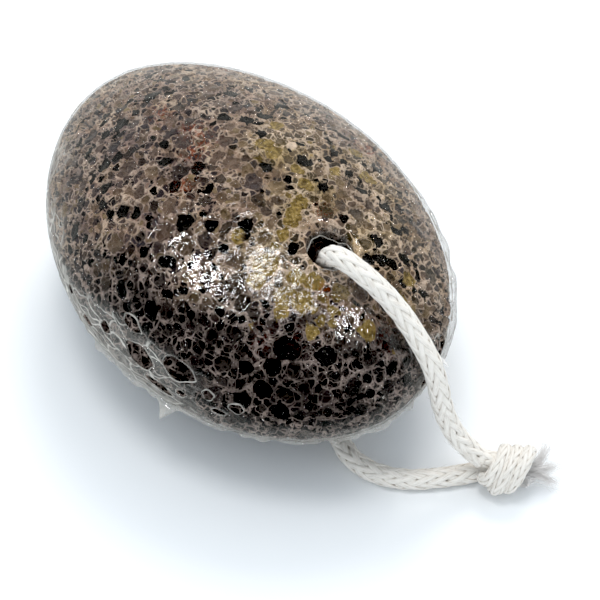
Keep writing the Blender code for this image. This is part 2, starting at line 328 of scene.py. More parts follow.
def yarn(path, outward, half_width, half_thickness):
    """A yarn's grid: at each point, an ellipse, thin along `outward` and wide across it."""
    across = unit(np.cross(unit(np.gradient(path, axis=0)), outward))
    section = turned(half_thickness * outward[:, None], half_width * across[:, None], steps_round(YARN_SIDES))
    return path[:, None] + section


def braid(path, diameter, pitch=BRAID_PITCH):
    """The grids of a braid's yarns and core round a path.

    The yarns of one hand start at equal turns. Along the cord each turns once a pitch, and its radius follows
    a cosine that lasts four crossings, so that it lies over two yarns and under two.
    """
    _, side, up = frames_along(path)
    along = distance_along(path)
    grids = []
    for number in range(HAND_COUNT):
        for hand in (1.0, -1.0):
            turn = FULL_TURN * (hand * along / pitch + number / HAND_COUNT)
            crossing = 2.0 * HAND_COUNT * along / pitch
            wave = hand * np.cos(math.pi / 2.0 * (hand * crossing + 2.0 * number - 0.5))
            own = 2.4 * number + 1.1 * hand
            turn += YARN_SWAY * np.sin(along / (1.9 * MM) + own) * np.sin(along / (5.3 * MM) + 3.0 * own)
            swell = YARN_SWELL * np.sin(along / (1.3 * MM) + 1.7 * own)
            outward = turned(side, up, turn)
            middle = path + outward * (diameter * (BRAID_MIDDLE + BRAID_WAVE * wave + swell))[:, None]
            grids.append(yarn(middle, outward, YARN_HALF_WIDTH * diameter, YARN_HALF_THICKNESS * diameter))
    return np.stack(grids + [yarn(path, side, diameter * CORE_RADIUS, diameter * CORE_RADIUS)])


# %% [markdown]
# All yarns of a piece become one mesh. A fan of triangles closes each end, round a point in its middle. The
# map gives every corner its distance along the yarn and its place round it. Where a cell goes past the full
# turn, its low corners are raised by a whole turn, so that the pattern doesn't run backwards in it.

# %% From yarns to a piece
def yarn_piece(name, stacks, material):
    """Join stacks of yarn grids into one piece, closed at every end, with its map in millimetres."""
    points, faces, fans, places, offset = [], [], [], [], 0
    for grids in stacks:
        count, rows, columns = grids.shape[:3]
        size = count * rows * columns
        faces += (many_grids(count, rows, columns, close_columns=True) + offset).tolist()
        ring, following = np.arange(columns), (np.arange(columns) + 1) % columns
        first = np.arange(count)[:, None] * rows * columns + [0, (rows - 1) * columns]
        start, stop = (first[..., None] + pair for pair in ([ring, following], [following, ring]))
        middle = np.broadcast_to(size + np.arange(2 * count).reshape(count, 2, 1), start.shape)
        fans += (np.stack([start, stop, middle], axis=-1).reshape(-1, 3) + offset).tolist()
        steps = np.linalg.norm(np.diff(grids.mean(axis=2), axis=1), axis=2)
        along = np.pad(np.cumsum(steps, axis=1), ((0, 0), (1, 0))) / MM + 7.3 * np.arange(count)[:, None]
        place = np.stack(np.broadcast_arrays(along[..., None], MAP_ROUND * ring / columns), axis=-1)
        places += [place.reshape(-1, 2), np.zeros((2 * count, 2))]
        points += [grids.reshape(-1, 3), grids[:, [0, -1]].mean(axis=2).reshape(-1, 3)]
        offset += size + 2 * count
    piece = new_piece(name, np.vstack(points), faces + fans, material)
    corners = np.empty(len(piece.data.loops), np.int32)
    piece.data.loops.foreach_get("vertex_index", corners)
    yarn_map = np.vstack(places)[corners]
    turns = yarn_map[:4 * len(faces), 1].reshape(-1, 4)
    passes = np.ptp(turns, axis=1)[:, None] > MAP_ROUND / 2.0
    turns += np.where(passes & (turns < MAP_ROUND / 2.0), MAP_ROUND, 0.0)
    yarn_map[:4 * len(faces), 1] = turns.ravel()
    piece.data.uv_layers.new(name="yarn").data.foreach_set("uv", yarn_map.astype(np.float32).ravel())
    return piece


cord = yarn_piece("cord_braid", [braid(cord_path, CORD_DIAMETER)], cotton)

# %% [markdown]
# Both ends of the cord meet in one overhand knot. Drawn tight, such a knot shows little of its path: the cord
# winds round itself in bands side by side, and the rest is hidden inside. So one helix of the same braid
# winds round a core along the knot's axis, leans a little, and dives into the core at both ends. The core is
# the two ends of the loose cord, carried straight on to the knot's far face.

# %% The knot
KNOT_CENTRE = np.array([59.7, 20.2, 4.8]) * MM
KNOT_AXIS = np.array([0.53, 0.848, 0.0]) / math.hypot(0.53, 0.848)
KNOT_SIDE = np.array([-KNOT_AXIS[1], KNOT_AXIS[0], 0.0])
UP = np.array([0.0, 0.0, 1.0])
KNOT_PITCH = 24.0 * MM
WRAP_DIAMETER = 2.75 * MM
WRAP_RADIUS = 3.35 * MM
WRAP_ADVANCE = 2.2 * MM
WRAP_TURNS = 2.3
WRAP_START = 2.2
WRAP_LEAN = 1.5 * MM
WRAP_TUCK = 0.12             # the share of the wrap's length that dives into the core at either end
CORE_DIAMETER = 3.6 * MM
CORE_REACH = 3.2 * MM
CORE_APART = 0.9 * MM * UP - 0.6 * MM * KNOT_SIDE


def knot_wrap():
    """The cord's way round the knot: a leaning helix that starts and ends inside the core."""
    t = np.linspace(-WRAP_TUCK, 1.0 + WRAP_TUCK, 260)
    turn = WRAP_START - FULL_TURN * WRAP_TURNS * t
    inside = np.clip(np.maximum(-t, t - 1.0) / WRAP_TUCK, 0.0, 1.0)
    radius = WRAP_RADIUS * (1.0 - 0.7 * inside**1.5) * (1.0 + 0.05 * np.sin(1.7 * turn + 0.4))
    along = WRAP_ADVANCE * WRAP_TURNS * (np.clip(t, 0.0, 1.0) - 0.5)
    along = along + WRAP_LEAN * np.cos(turn - math.pi / 4.0) + np.where(t < 0, -1.0, 1.0) * inside * 0.5 * MM
    return KNOT_CENTRE + along[:, None] * KNOT_AXIS + radius[:, None] * turned(KNOT_SIDE, UP, turn)


knot_stacks = [braid(knot_wrap(), WRAP_DIAMETER, KNOT_PITCH)]
for start, way in ((cord_path[2], 1.0), (cord_path[-3], -1.0)):
    end = KNOT_CENTRE + CORE_REACH * KNOT_AXIS + way * CORE_APART
    knot_stacks.append(braid(np.linspace(start, end, 40), CORE_DIAMETER, KNOT_PITCH))
knot = yarn_piece("knot_braid", knot_stacks, cotton)

# %% [markdown]
# Beyond the knot both cut ends have come undone into loose fibres. Each fibre is a thin tube on a curve that
# starts in the knot's face and ends near one of three tips, so that the fibres gather into locks. A short
# stub of braid is left between them. Real cotton fibres are 0.02 mm thick. These are 0.08 mm, which is as
# coarse as they need to be to show.

# %% The frayed ends
FIBRES = 340
FIBRE_RADIUS = 0.042 * MM
FIBRE_LOWEST = 0.35 * MM
LOCK_TIPS = np.array([(57.6, 31.2, 3.6), (62.9, 30.4, 2.9), (66.2, 27.4, 2.1)]) * MM
LOCK_SHARES = (0.36, 0.30, 0.34)
FRAY_START = 2.6 * MM        # how far in front of the knot's centre
STUB_END = np.array([61.3, 24.3, 2.4]) * MM


def fibre_grids(start, middle, end, radius, rows, sides):
    """Thin tubes on curves drawn by three points each: the first, one that pulls, and the last."""
    t = np.linspace(0.0, 1.0, rows)[None, :, None]
    path = (1 - t)**2 * start[:, None] + 2 * t * (1 - t) * middle[:, None] + t**2 * end[:, None]
    tangent = unit(np.gradient(path, axis=1))
    side = unit(np.cross(tangent, UP + 1e-6))[:, :, None]
    over = np.cross(tangent[:, :, None], side)
    return path[:, :, None] + (radius * (1.0 - 0.6 * t))[..., None] * turned(side, over, steps_round(sides))


rng = np.random.default_rng(5)
root = KNOT_CENTRE + KNOT_AXIS * FRAY_START
disc = rng.normal(0.0, 0.75 * MM, (FIBRES, 2))
starts = root + disc[:, :1] * KNOT_SIDE + disc[:, 1:] * UP - 0.5 * MM * UP
lock = rng.choice(3, FIBRES, p=LOCK_SHARES)
ends = LOCK_TIPS[lock] + rng.normal(0.0, 0.75, (FIBRES, 3)) * MM
ends = root + (ends - root) * rng.uniform(0.62, 1.0, (FIBRES, 1))
pulls = starts + KNOT_AXIS * FRAY_START + (LOCK_TIPS[lock] - root) * 0.22
pulls += rng.normal(0.0, 0.45, (FIBRES, 3)) * MM
ends[:, 2] = np.maximum(ends[:, 2], FIBRE_LOWEST)
stub_path = np.linspace(root - 1.6 * MM * (KNOT_SIDE + UP), STUB_END, 16)
frayed = yarn_piece(
    "frayed_ends",
    [fibre_grids(starts, pulls, ends, FIBRE_RADIUS, 9, 4), braid(stub_path, 2.7 * MM, 17.0 * MM)],
    loose_cotton,
)

# %% [markdown]
# Spun cotton is never quite smooth: short fibres stand away from it, and on the outside of the loop one ply
# has come loose. The short fibres start at random places on the cord's surface and bend along it. Those that
# would go through the table are left out.

# %% Stray fibres and a loose ply
STRAY_FIBRES = 420
STRAY_REACH = 0.55 * MM
LOOSE_PLY = np.array([(49.2, 10.2, 31.0), (50.3, 11.2, 30.0), (50.9, 11.6, 29.0)]) * MM

rng = np.random.default_rng(17)
tangent, side, up = frames_along(cord_path)
at = rng.integers(8, len(cord_path) - 16, STRAY_FIBRES)
outward = turned(side[at], up[at], rng.uniform(0.0, FULL_TURN, STRAY_FIBRES))
surface = cord_path[at] + outward * 0.44 * CORD_DIAMETER
length = rng.uniform(0.8, 2.6, (STRAY_FIBRES, 1)) * MM * rng.choice([-1.0, 1.0], (STRAY_FIBRES, 1))
lift = rng.uniform(0.3, 1.0, (STRAY_FIBRES, 1)) * STRAY_REACH
bent = surface + outward * (lift + 0.06 * CORD_DIAMETER) + tangent[at] * length * 0.5
tip = surface + outward * (0.6 * lift + 0.06 * CORD_DIAMETER) + tangent[at] * length
tip += rng.normal(0.0, 0.2, (STRAY_FIBRES, 3)) * MM
strays = fibre_grids(surface, bent, tip, 0.022 * MM, 6, 4)
strays = strays[(strays[..., 2] > 0.05 * MM).all(axis=(1, 2))]
ply = fibre_grids(LOOSE_PLY[:1], LOOSE_PLY[1:2], LOOSE_PLY[2:], 0.42 * MM, 24, 8)
stray = yarn_piece("stray_fibres", [strays, ply], loose_cotton)

# %% [markdown]
# The stone's shape is an egg, slightly boxy and wider at the +X end. A direction from its middle is scaled
# until the sum of its three coordinates' powers is one, and then stretched by the half sizes.

# %% The egg
HALF_SIZES = np.array([49.05, 33.65, 24.6]) * MM
MIDDLE = np.array([0.0, 0.0, 23.7]) * MM
BLOCKINESS = 1.9
TAPER = 0.055


def egg(directions, clearance=0.0):
    """The egg's surface along each direction, as much outside the stone as the clearance."""
    reach = (np.abs(directions) ** BLOCKINESS).sum(axis=1) ** (-1.0 / BLOCKINESS)
    share = directions * reach[:, None]
    points = share * (HALF_SIZES + clearance)
    points[:, 1] *= 1.0 + TAPER * share[:, 0]
    return points + MIDDLE


def straight_out(points):
    """The egg's outward direction at each point: the slope of the same sum of powers."""
    widening = 1.0 + TAPER * points[:, 0] / HALF_SIZES[0]
    halves = HALF_SIZES * np.stack([np.ones_like(widening), widening, np.ones_like(widening)], axis=1)
    shares = (points - MIDDLE) / halves
    return unit(np.sign(shares) * np.abs(shares) ** (BLOCKINESS - 1.0) / halves)


def onto_egg(points, clearance=0.0):
    """Points moved along the line from the middle onto the egg, at a clearance."""
    shares = (points - MIDDLE) / HALF_SIZES
    shares[:, 1] /= 1.0 + TAPER * shares[:, 0]
    return egg(shares, clearance)


def egg_height(x, y, side):
    """The height of the egg's upper (side 1) or lower (side -1) face over x and y."""
    along = x / HALF_SIZES[0]
    across = y / (HALF_SIZES[1] * (1.0 + TAPER * along))
    rest = np.clip(1.0 - np.abs(along) ** BLOCKINESS - np.abs(across) ** BLOCKINESS, 0.0, None)
    return MIDDLE[2] + side * HALF_SIZES[2] * rest ** (1.0 / BLOCKINESS)


# %% [markdown]
# A globe's grid crowds at its poles. The stone starts instead from the six faces of a box, cut into cells of
# equal angle, so that all the cells on the egg are about 0.45 mm wide. Whole-number points on the box are
# shared along its edges, so the skin is closed.

# %% A box of cells for the stone
STONE_CELLS = np.array([167, 115, 84])


def box_lattice(cells):
    """Whole-number points on a box, once each, and the outward quads between them."""
    sheets, quads, offset = [], [], 0
    for axis in range(3):
        u, v = (axis + 1) % 3, (axis + 2) % 3
        for end in (0, cells[axis]):
            sheet = np.empty((cells[u] + 1, cells[v] + 1, 3), int)
            sheet[..., axis] = end
            sheet[..., u] = np.arange(cells[u] + 1)[:, None]
            sheet[..., v] = np.arange(cells[v] + 1)[None, :]
            faces = grid_faces(cells[u] + 1, cells[v] + 1)
            quads.append((faces if end else faces[:, ::-1]) + offset)
            sheets.append(sheet.reshape(-1, 3))
            offset += len(sheets[-1])
    points, number = np.unique(np.vstack(sheets), axis=0, return_inverse=True)
    return points, number.reshape(-1)[np.vstack(quads)]


def lattice_directions(points, cells):
    """Directions of equal angle: the tangent of each share of 45 degrees."""
    return np.tan(math.pi / 4.0 * (2.0 * points / cells - 1.0))


lattice, stone_faces = box_lattice(STONE_CELLS)
stone_points = egg(lattice_directions(lattice, STONE_CELLS))
print("lattice:", len(lattice), "points,", len(stone_faces), "cells")

# %% [markdown]
# The drilled hole is part of the same grid, not a cut. A square block of cells is left out of the upper and
# the lower face, and the cells round each gap are bent until the square is a circle.

# %% Gaps for the drilled hole
HOLE = np.array([27.0, 2.3]) * MM
HOLE_RADIUS = 4.2 * MM
MOUTH_RADII = {1: 4.7 * MM, -1: 4.4 * MM}
BLOCK_HALF = 10              # cells from the middle of the gap to its edge
BENT_TO = 2.4                # how far the bending reaches, in half gaps
CELL_WIDTH = 0.45 * MM


def square_turn(p, q):
    """The angle round a circle that belongs to a point on a square, evenly spaced along its sides."""
    wide = np.abs(p) >= np.abs(q)
    with np.errstate(divide="ignore", invalid="ignore"):
        level = np.where(p > 0, 0.0, math.pi) + math.pi / 4.0 * q / p
        steep = np.where(q > 0, math.pi / 2.0, -math.pi / 2.0) - math.pi / 4.0 * p / q
    return np.where(wide, level, steep)


def smooth_step(x, low, high):
    """0 below `low`, 1 above `high`, and a smooth rise between."""
    t = np.clip((x - low) / (high - low), 0.0, 1.0)
    return t * t * (3.0 - 2.0 * t)


def open_block(side):
    """Bend the cells round the hole on one face. Give every point's distance in half gaps, and the edge."""
    on_face = lattice[:, 2] == (STONE_CELLS[2] if side > 0 else 0)
    from_hole = np.where(on_face, np.hypot(*(stone_points[:, :2] - HOLE).T), np.inf)
    centre = lattice[from_hole.argmin(), :2]
    p, q = ((lattice[:, :2] - centre) / BLOCK_HALF).T
    distance = np.where(on_face, np.maximum(np.abs(p), np.abs(q)), np.inf)
    bent = (distance >= 1.0) & (distance < BENT_TO)
    radius = MOUTH_RADII[side] + (distance[bent] - 1.0) * BLOCK_HALF * CELL_WIDTH
    turn = square_turn(p[bent], q[bent])
    circle = HOLE + radius[:, None] * np.stack([np.cos(turn), np.sin(turn)], axis=1)
    share = 1.0 - smooth_step(distance[bent], 1.0, BENT_TO)[:, None]
    stone_points[bent, :2] = share * circle + (1.0 - share) * stone_points[bent, :2]
    stone_points[bent, 2] = egg_height(*stone_points[bent, :2].T, side)
    run, edge = np.arange(-BLOCK_HALF, BLOCK_HALF), np.full(2 * BLOCK_HALF, BLOCK_HALF)
    corners = np.hstack([(run, -edge), (edge, run), (-run, edge), (-edge, -run)]).T + centre
    numbers = np.full(STONE_CELLS[:2] + 1, -1)
    numbers[tuple(lattice[on_face, :2].T)] = np.flatnonzero(on_face)
    return distance, numbers[tuple(corners.T)]


upper_gap, upper_loop = open_block(1)
lower_gap, lower_loop = open_block(-1)
stone_faces = stone_faces[np.minimum(upper_gap, lower_gap)[stone_faces].max(axis=1) > 1.0]
print("edge of each gap:", len(upper_loop), "points")

# %% [markdown]
# A tube of rings joins the two circles. Near both ends it widens, by the square of how near the end is, as a
# hole does that a cord has worn.

# %% The wall of the hole
HOLE_RINGS = 88
MOUTH_DEPTHS = {1: 1.2 * MM, -1: 0.6 * MM}

top, foot = stone_points[upper_loop], stone_points[lower_loop]
down = np.linspace(0.0, 1.0, HOLE_RINGS + 1)[1:-1, None]
height = top[:, 2] + down * (foot[:, 2] - top[:, 2])
turn = np.unwrap(np.arctan2(top[:, 1] - HOLE[1], top[:, 0] - HOLE[0]))
radius = np.full(height.shape, HOLE_RADIUS)
for side, edge in ((1, top[:, 2] - height), (-1, height - foot[:, 2])):
    radius += np.clip(1.0 - edge / MOUTH_DEPTHS[side], 0.0, 1.0) ** 2 * (MOUTH_RADII[side] - HOLE_RADIUS)
tube = np.stack([HOLE[0] + radius * np.cos(turn), HOLE[1] + radius * np.sin(turn), height], axis=-1)
tube_numbers = len(stone_points) + np.arange(height.size).reshape(height.shape)
tube_numbers = np.vstack([upper_loop, tube_numbers, lower_loop])
tube_faces = tube_numbers.reshape(-1)[grid_faces(*tube_numbers.shape, close_columns=True)][:, ::-1]
tube = tube.reshape(-1, 3)
print("hole:", tube_numbers.shape, "points down and round")

# %% [markdown]
# The block is ground from foam, so its skin is a cut through bubbles of many sizes. The large ones are listed
# one by one, where the eye looks for them. The others are thrown at random, the largest first, and one is
# kept only where it does not reach too far into those already there. Little ones fill what is left, and thin
# walls stand between.

# %% Where the bubbles are
OLIVE, VOID_SHADE, GREY = 1, 2, 0      # what the floor of a bubble looks like
MARKED_BUBBLES = {
    # x, y, radius and depth in mm
    OLIVE: [
        (24.4, -9.5, 2.5, 1.2), (25.8, -12.2, 1.9, 1.2), (31.2, -9.4, 2.3, 1.1), (33.2, -7.4, 2.2, 1.0),
        (32.6, -11.2, 1.7, 1.0), (31.3, -3.7, 2.0, 1.0), (29.2, -6.2, 1.7, 0.9), (17.2, 2.2, 1.9, 1.1),
        (18.6, 0.2, 1.8, 1.0), (20.0, -1.6, 1.6, 0.9), (1.7, 4.5, 2.0, 0.8), (4.8, 4.6, 1.8, 0.8),
        (10.1, 6.1, 1.6, 0.7), (13.8, 5.8, 1.8, 0.8), (17.6, -10.7, 1.7, 0.8), (21.6, -4.0, 1.5, 0.7),
        (7.5, 20.7, 1.8, 0.8), (14.1, 18.7, 1.8, 0.8), (35.2, 14.1, 1.7, 0.9), (36.9, -3.2, 1.6, 0.8),
        (41.8, 0.5, 2.0, 1.0), (37.9, -8.3, 1.5, 0.8), (12.6, 12.8, 1.6, 0.7), (-2.0, 9.4, 1.5, 0.6),
    ],
    VOID_SHADE: [
        (-15.7, -19.8, 1.9, 1.9), (-6.0, 5.3, 1.6, 1.6), (0.1, -8.6, 1.6, 1.6), (-10.8, -22.3, 1.4, 1.5),
        (8.3, -16.4, 2.0, 2.0), (16.0, -8.3, 1.6, 1.7), (17.9, -9.5, 1.2, 1.4), (-3.2, -23.0, 1.7, 1.8),
        (-0.4, -21.7, 1.3, 1.5), (8.0, -29.9, 1.6, 1.6), (-6.7, -29.4, 1.4, 1.5), (7.5, 16.1, 1.4, 1.5),
        (3.6, 17.4, 1.3, 1.4), (17.2, 15.8, 1.4, 1.5), (16.3, 24.7, 1.6, 1.7), (20.5, 21.9, 1.5, 1.6),
        (26.4, 17.2, 1.6, 1.7), (28.1, 11.7, 1.4, 1.5), (31.6, 10.4, 1.6, 1.7), (32.7, 12.4, 1.2, 1.4),
        (31.7, 15.4, 1.2, 1.4), (36.0, 12.1, 1.3, 1.4), (37.4, -13.3, 2.6, 2.3), (35.2, -11.2, 1.3, 1.5),
        (41.9, -8.0, 2.1, 2.0), (37.9, -16.4, 1.8, 1.8), (18.4, 2.9, 0.9, 1.9),
    ],
    GREY: [
        (-20.0, 6.0, 2.0, 1.2), (-30.0, -8.0, 1.9, 1.1), (-34.0, 9.0, 2.1, 1.2), (-14.0, 17.0, 1.9, 1.1),
        (-26.0, -17.0, 2.0, 1.2), (36.0, 3.0, 1.7, 1.0), (24.0, -15.5, 2.2, 1.5), (27.4, -16.2, 1.9, 1.4),
        (20.4, -13.6, 1.9, 1.4), (9.2, -2.6, 2.0, 1.1), (3.2, -3.6, 1.9, 1.0), (12.2, 0.6, 1.7, 1.0),
    ],
}
THROWN_BUBBLES = [
    # radii from and to, in mm, how many are wanted, and how near two may come, as a share of both radii
    (1.5, 2.2, 330, 0.97),
    (1.0, 1.5, 1500, 0.95),
    (0.6, 1.0, 3600, 0.95),
]
TRIES_EACH = 22
HOLE_MARGIN = 1.5 * MM


def throw_bubbles(rng, centres, radii):
    """Add random bubbles to those given, from the largest down, each kept clear of the ones before it."""
    for smallest, largest, wanted, closeness in THROWN_BUBBLES:
        tries = TRIES_EACH * wanted
        height, spin = rng.uniform(-1.0, 1.0, tries), rng.uniform(0.0, FULL_TURN, tries)
        ring = np.sqrt(1.0 - height**2)
        found = egg(np.stack([ring * np.cos(spin), ring * np.sin(spin), height], axis=1))
        found[:, 2] = np.maximum(found[:, 2], 0.0)
        sizes = rng.uniform(smallest, largest, tries) * MM
        clear = np.hypot(*(found[:, :2] - HOLE).T) > HOLE_RADIUS + HOLE_MARGIN + 0.6 * sizes
        before = kept = len(centres)
        centres, radii = np.vstack([centres, np.zeros((wanted, 3))]), np.append(radii, np.zeros(wanted))
        for point, size in zip(found[clear], sizes[clear]):
            gap = np.sqrt(((centres[:kept] - point) ** 2).sum(axis=1))
            if kept < before + wanted and np.all(gap > closeness * (radii[:kept] + size)):
                centres[kept], radii[kept] = point, size
                kept += 1
        centres, radii = centres[:kept], radii[:kept]
        print(f"bubbles of {smallest} to {largest} mm: {kept - before}")
    return centres, radii


rng = np.random.default_rng(11)
marked = np.array([(*bubble, kind) for kind, group in MARKED_BUBBLES.items() for bubble in group])
marked_centres = marked[:, :3] * MM
marked_centres[:, 2] = egg_height(marked_centres[:, 0], marked_centres[:, 1], 1)
centres, radii = throw_bubbles(rng, marked_centres, marked[:, 2] * MM)

# %% [markdown]
# Each bubble has a depth and a tone. A quarter of the thrown ones open into a deep void, whose floor is
# painted near-black as painted shade, and some of those near the hole have an olive coat. Shallow ones are
# thrown on the wall of the hole as well.

# %% How deep and how dark the bubbles are
BUBBLE_DEPTHS = (0.7, 1.3)
VOID_SHADE_SHARE = 0.26
OLIVE_SHARE = 0.22
PALE_OLIVE = 0.75
OLIVE_PLACES = np.array([(27.0, -7.0, 11.0), (8.0, 8.0, 10.0), (33.0, 12.0, 8.0), (40.0, 2.0, 7.0)])
WALL_PITS = 420
WALL_TONE = 0.4

is_thrown = np.arange(len(centres)) >= len(marked)
thrown = is_thrown.sum()
depths = np.append(marked[:, 3] * MM, radii[is_thrown] * rng.uniform(*BUBBLE_DEPTHS, thrown))
tones = rng.uniform(0.0, 1.0, len(centres))
void_shade = np.append(marked[:, 4] == VOID_SHADE, rng.uniform(size=thrown) < VOID_SHADE_SHARE).astype(float)
olive = np.append(marked[:, 4] == OLIVE, np.zeros(thrown)).astype(float)
for x, y, reach in OLIVE_PLACES * MM:
    near = np.hypot(centres[:, 0] - x, centres[:, 1] - y) < reach
    pick = near & (centres[:, 2] > MIDDLE[2]) & (rng.uniform(size=len(centres)) < OLIVE_SHARE)
    olive = np.where(pick & (void_shade < 0.5) & is_thrown, PALE_OLIVE, olive)

spin, level = rng.uniform(0.0, FULL_TURN, WALL_PITS), rng.uniform(4.0, 42.0, WALL_PITS) * MM
wall_centres = [HOLE[0] + HOLE_RADIUS * np.cos(spin), HOLE[1] + HOLE_RADIUS * np.sin(spin), level]
centres = np.vstack([centres, np.stack(wall_centres, axis=1)])
radii = np.append(radii, rng.uniform(0.6, 1.3, WALL_PITS) * MM)
depths = np.append(depths, rng.uniform(0.3, 0.8, WALL_PITS) * MM)
tones = np.append(tones, np.full(WALL_PITS, WALL_TONE))
void_shade, olive = (np.append(values, np.zeros(WALL_PITS)) for values in (void_shade, olive))
print("bubbles in all:", len(centres))

# %% [markdown]
# Each bubble presses a bowl into the skin: its depth times the square root of one minus the squared share of
# its radius, so that the walls are steep and the floor is round. A point takes the deepest bowl over it. A
# slow ripple moves the points before they are measured, so that no pit is a perfect circle.

# %% Press the bubbles in
RAGGED = (3.2 * MM, 0.3 * MM, 3)     # wavelength, height and seed of the ripple that makes the pits uneven
GRAIN = (1.4 * MM, 0.05 * MM, 8)
GROUND_LEVEL = 0.3 * MM
GROUND_SHARE = 0.35
EDGE_FADE = (0.1 * MM, 1.6 * MM)
MOUTH_ROOM = 9.0 * MM
LOWER_MOUTH_LEVEL = 3.4 * MM
UNPRESSED = 0.02 * MM


def ripple(points, length, height, seed):
    """A smooth wandering offset: six sine waves of random directions, near one wavelength."""
    waves = np.random.default_rng(seed)
    way = waves.normal(size=(6, 3))
    way *= (FULL_TURN / (length * waves.uniform(0.7, 1.4, 6)) / np.linalg.norm(way, axis=1))[:, None]
    shift = waves.uniform(0.0, FULL_TURN, (6, 3))
    return height / 6**0.5 * np.stack([np.sin(points @ way.T + shift[:, k]).sum(axis=1) for k in range(3)], 1)


def press(points, centres, radii, depths, slabs=70):
    """The deepest bowl over each point, the bubble that is nearest by share of its radius, and that share.

    The work goes slab by slab along X, so that the table of distances stays small.
    """
    deepest, owner, share = np.zeros(len(points)), np.zeros(len(points), int), np.full(len(points), 2.0)
    for slab in np.array_split(np.argsort(points[:, 0]), slabs):
        low, high = points[slab, 0].min() - radii.max(), points[slab, 0].max() + radii.max()
        near = np.flatnonzero((centres[:, 0] > low) & (centres[:, 0] < high))
        gap = np.linalg.norm(points[slab, None] - centres[near], axis=2) / radii[near]
        bowls = depths[near] * np.sqrt(np.clip(1.0 - gap**2, 0.0, None))
        best = gap.argmin(axis=1)
        deepest[slab], owner[slab] = bowls.max(axis=1), near[best]
        share[slab] = gap[np.arange(len(slab)), best]
    return deepest, owner, share


stone_points[:, 2] = np.maximum(stone_points[:, 2], 0.0)
inward = -straight_out(stone_points)
inward[stone_points[:, 2] <= 0.0] = (0.0, 0.0, 1.0)
inward = np.vstack([inward, unit(tube * [1.0, 1.0, 0.0] - [*HOLE, 0.0])])
skin = np.vstack([stone_points, tube])
deepest, owner, bubble_share = press(skin + ripple(skin, *RAGGED), centres, radii, depths)

# %% [markdown]
# The pits fade out at the mouths of the hole, and are worn down on the ground flat that the stone rests on,
# which stays at z = 0. A fine grain roughens the rest.

# %% Where the pits fade
from_axis = np.hypot(*(skin[:, :2] - HOLE).T)
on_outside = np.arange(len(skin)) < len(stone_points)
edge_gap = np.where(
    on_outside,
    np.where(from_axis < MOUTH_ROOM, from_axis - MOUTH_RADII[1], 1.0),
    np.minimum(egg_height(skin[:, 0], skin[:, 1], 1) - skin[:, 2], skin[:, 2] - LOWER_MOUTH_LEVEL),
)
deepest *= smooth_step(edge_gap, *EDGE_FADE) * np.where(skin[:, 2] < GROUND_LEVEL, GROUND_SHARE, 1.0)
pressed = skin + inward * (deepest + np.abs(ripple(skin, *GRAIN)[:, 0]))[:, None]
pressed[:, 2] = np.maximum(pressed[:, 2], 0.0)
pressed[on_outside & (skin[:, 2] <= 0.0) & (deepest < UNPRESSED), 2] = 0.0
used, all_faces = np.unique(np.vstack([stone_faces, tube_faces]), return_inverse=True)
print(f"deepest pit {deepest.max() * 1000:.2f} mm, mean {deepest.mean() * 1000:.2f} mm")

# %% [markdown]
# Colour follows the foam. The cut walls between bubbles are pale. The floors are grey-purple to brown, in
# tones that differ at random, and are painted darker than the walls as painted shade. Some open into a deep
# void, painted near-black as its shade, and a few near the hole are coated yellow-olive. Rust-red iron stains
# a few walls. The side turned from the light is painted darker as painted shade, and so is the wall of the
# hole away from its mouths. The mesh carries these as numbers at its points.

# %% What each point of the stone shows
# Painted shade: the side of the stone that faces this way, away from the lamps, is painted darker.
PAINTED_SHADE_WAY = np.array([0.85, -0.50, -0.30])
PAINTED_SHADE_FROM_TO = (0.06, 0.42)
TUBE_SHADE = (0.9 * MM, 3.0 * MM)
RUST_LOWEST, WARM_LOWEST = 15.0 * MM, 20.0 * MM
RUST_PLACES = [
    (-3.5, -7.6, 2.2), (-5.6, -4.6, 2.6), (-9.4, -4.2, 2.0), (2.0, -12.6, 2.0), (34.0, -16.0, 2.2),
    (37.6, -11.2, 1.8), (33.6, -3.0, 1.6), (20.5, 5.4, 1.8), (-30.0, 14.0, 2.6), (-18.0, -6.0, 2.2),
    (5.0, 25.0, 2.4), (43.5, 3.5, 2.4),
]
WARM_PLACES = [(31.0, 11.0, 9.0), (16.0, 4.0, 7.0), (26.0, -8.0, 8.0), (6.0, 6.0, 8.0), (14.0, 18.0, 6.0)]

used_skin, owner, depth_here = skin[used], owner[used], deepest[used]


def patches(places, lowest):
    """How near each point is to any of some places: a bell curve of its distance over the place's reach."""
    near = np.zeros(len(used_skin))
    for x, y, reach in np.array(places) * MM:
        away = np.hypot(used_skin[:, 0] - x, used_skin[:, 1] - y) / reach
        near = np.maximum(near, np.exp(-away**2) * (used_skin[:, 2] > lowest))
    return near


slow = ripple(used_skin, 16.0 * MM, 1.0, 41)
# Painted shade: the side turned from the lamps is painted darker, and on the hole's wall the paint deepens
# away from either mouth.
painted_shade = smooth_step(straight_out(used_skin) @ PAINTED_SHADE_WAY + 0.07 * slow[:, 0], *PAINTED_SHADE_FROM_TO)
stone_marks = {
    "painted_shade": np.where(on_outside[used], painted_shade, smooth_step(edge_gap[used], *TUBE_SHADE)),
    "warm": np.clip(patches(WARM_PLACES, WARM_LOWEST) * (1.0 + 0.5 * slow[:, 1]), 0.0, 1.0),
    "share": np.clip(bubble_share[used] + np.where(depth_here < UNPRESSED, 0.6, 0.0), 0.0, 2.0),
    "tone": tones[owner],
    "olive": olive[owner],
    "void_shade": void_shade[owner],
    "rust": patches(RUST_PLACES, RUST_LOWEST),
}
print("marks:", {name: round(float(values.mean()), 2) for name, values in stone_marks.items()})

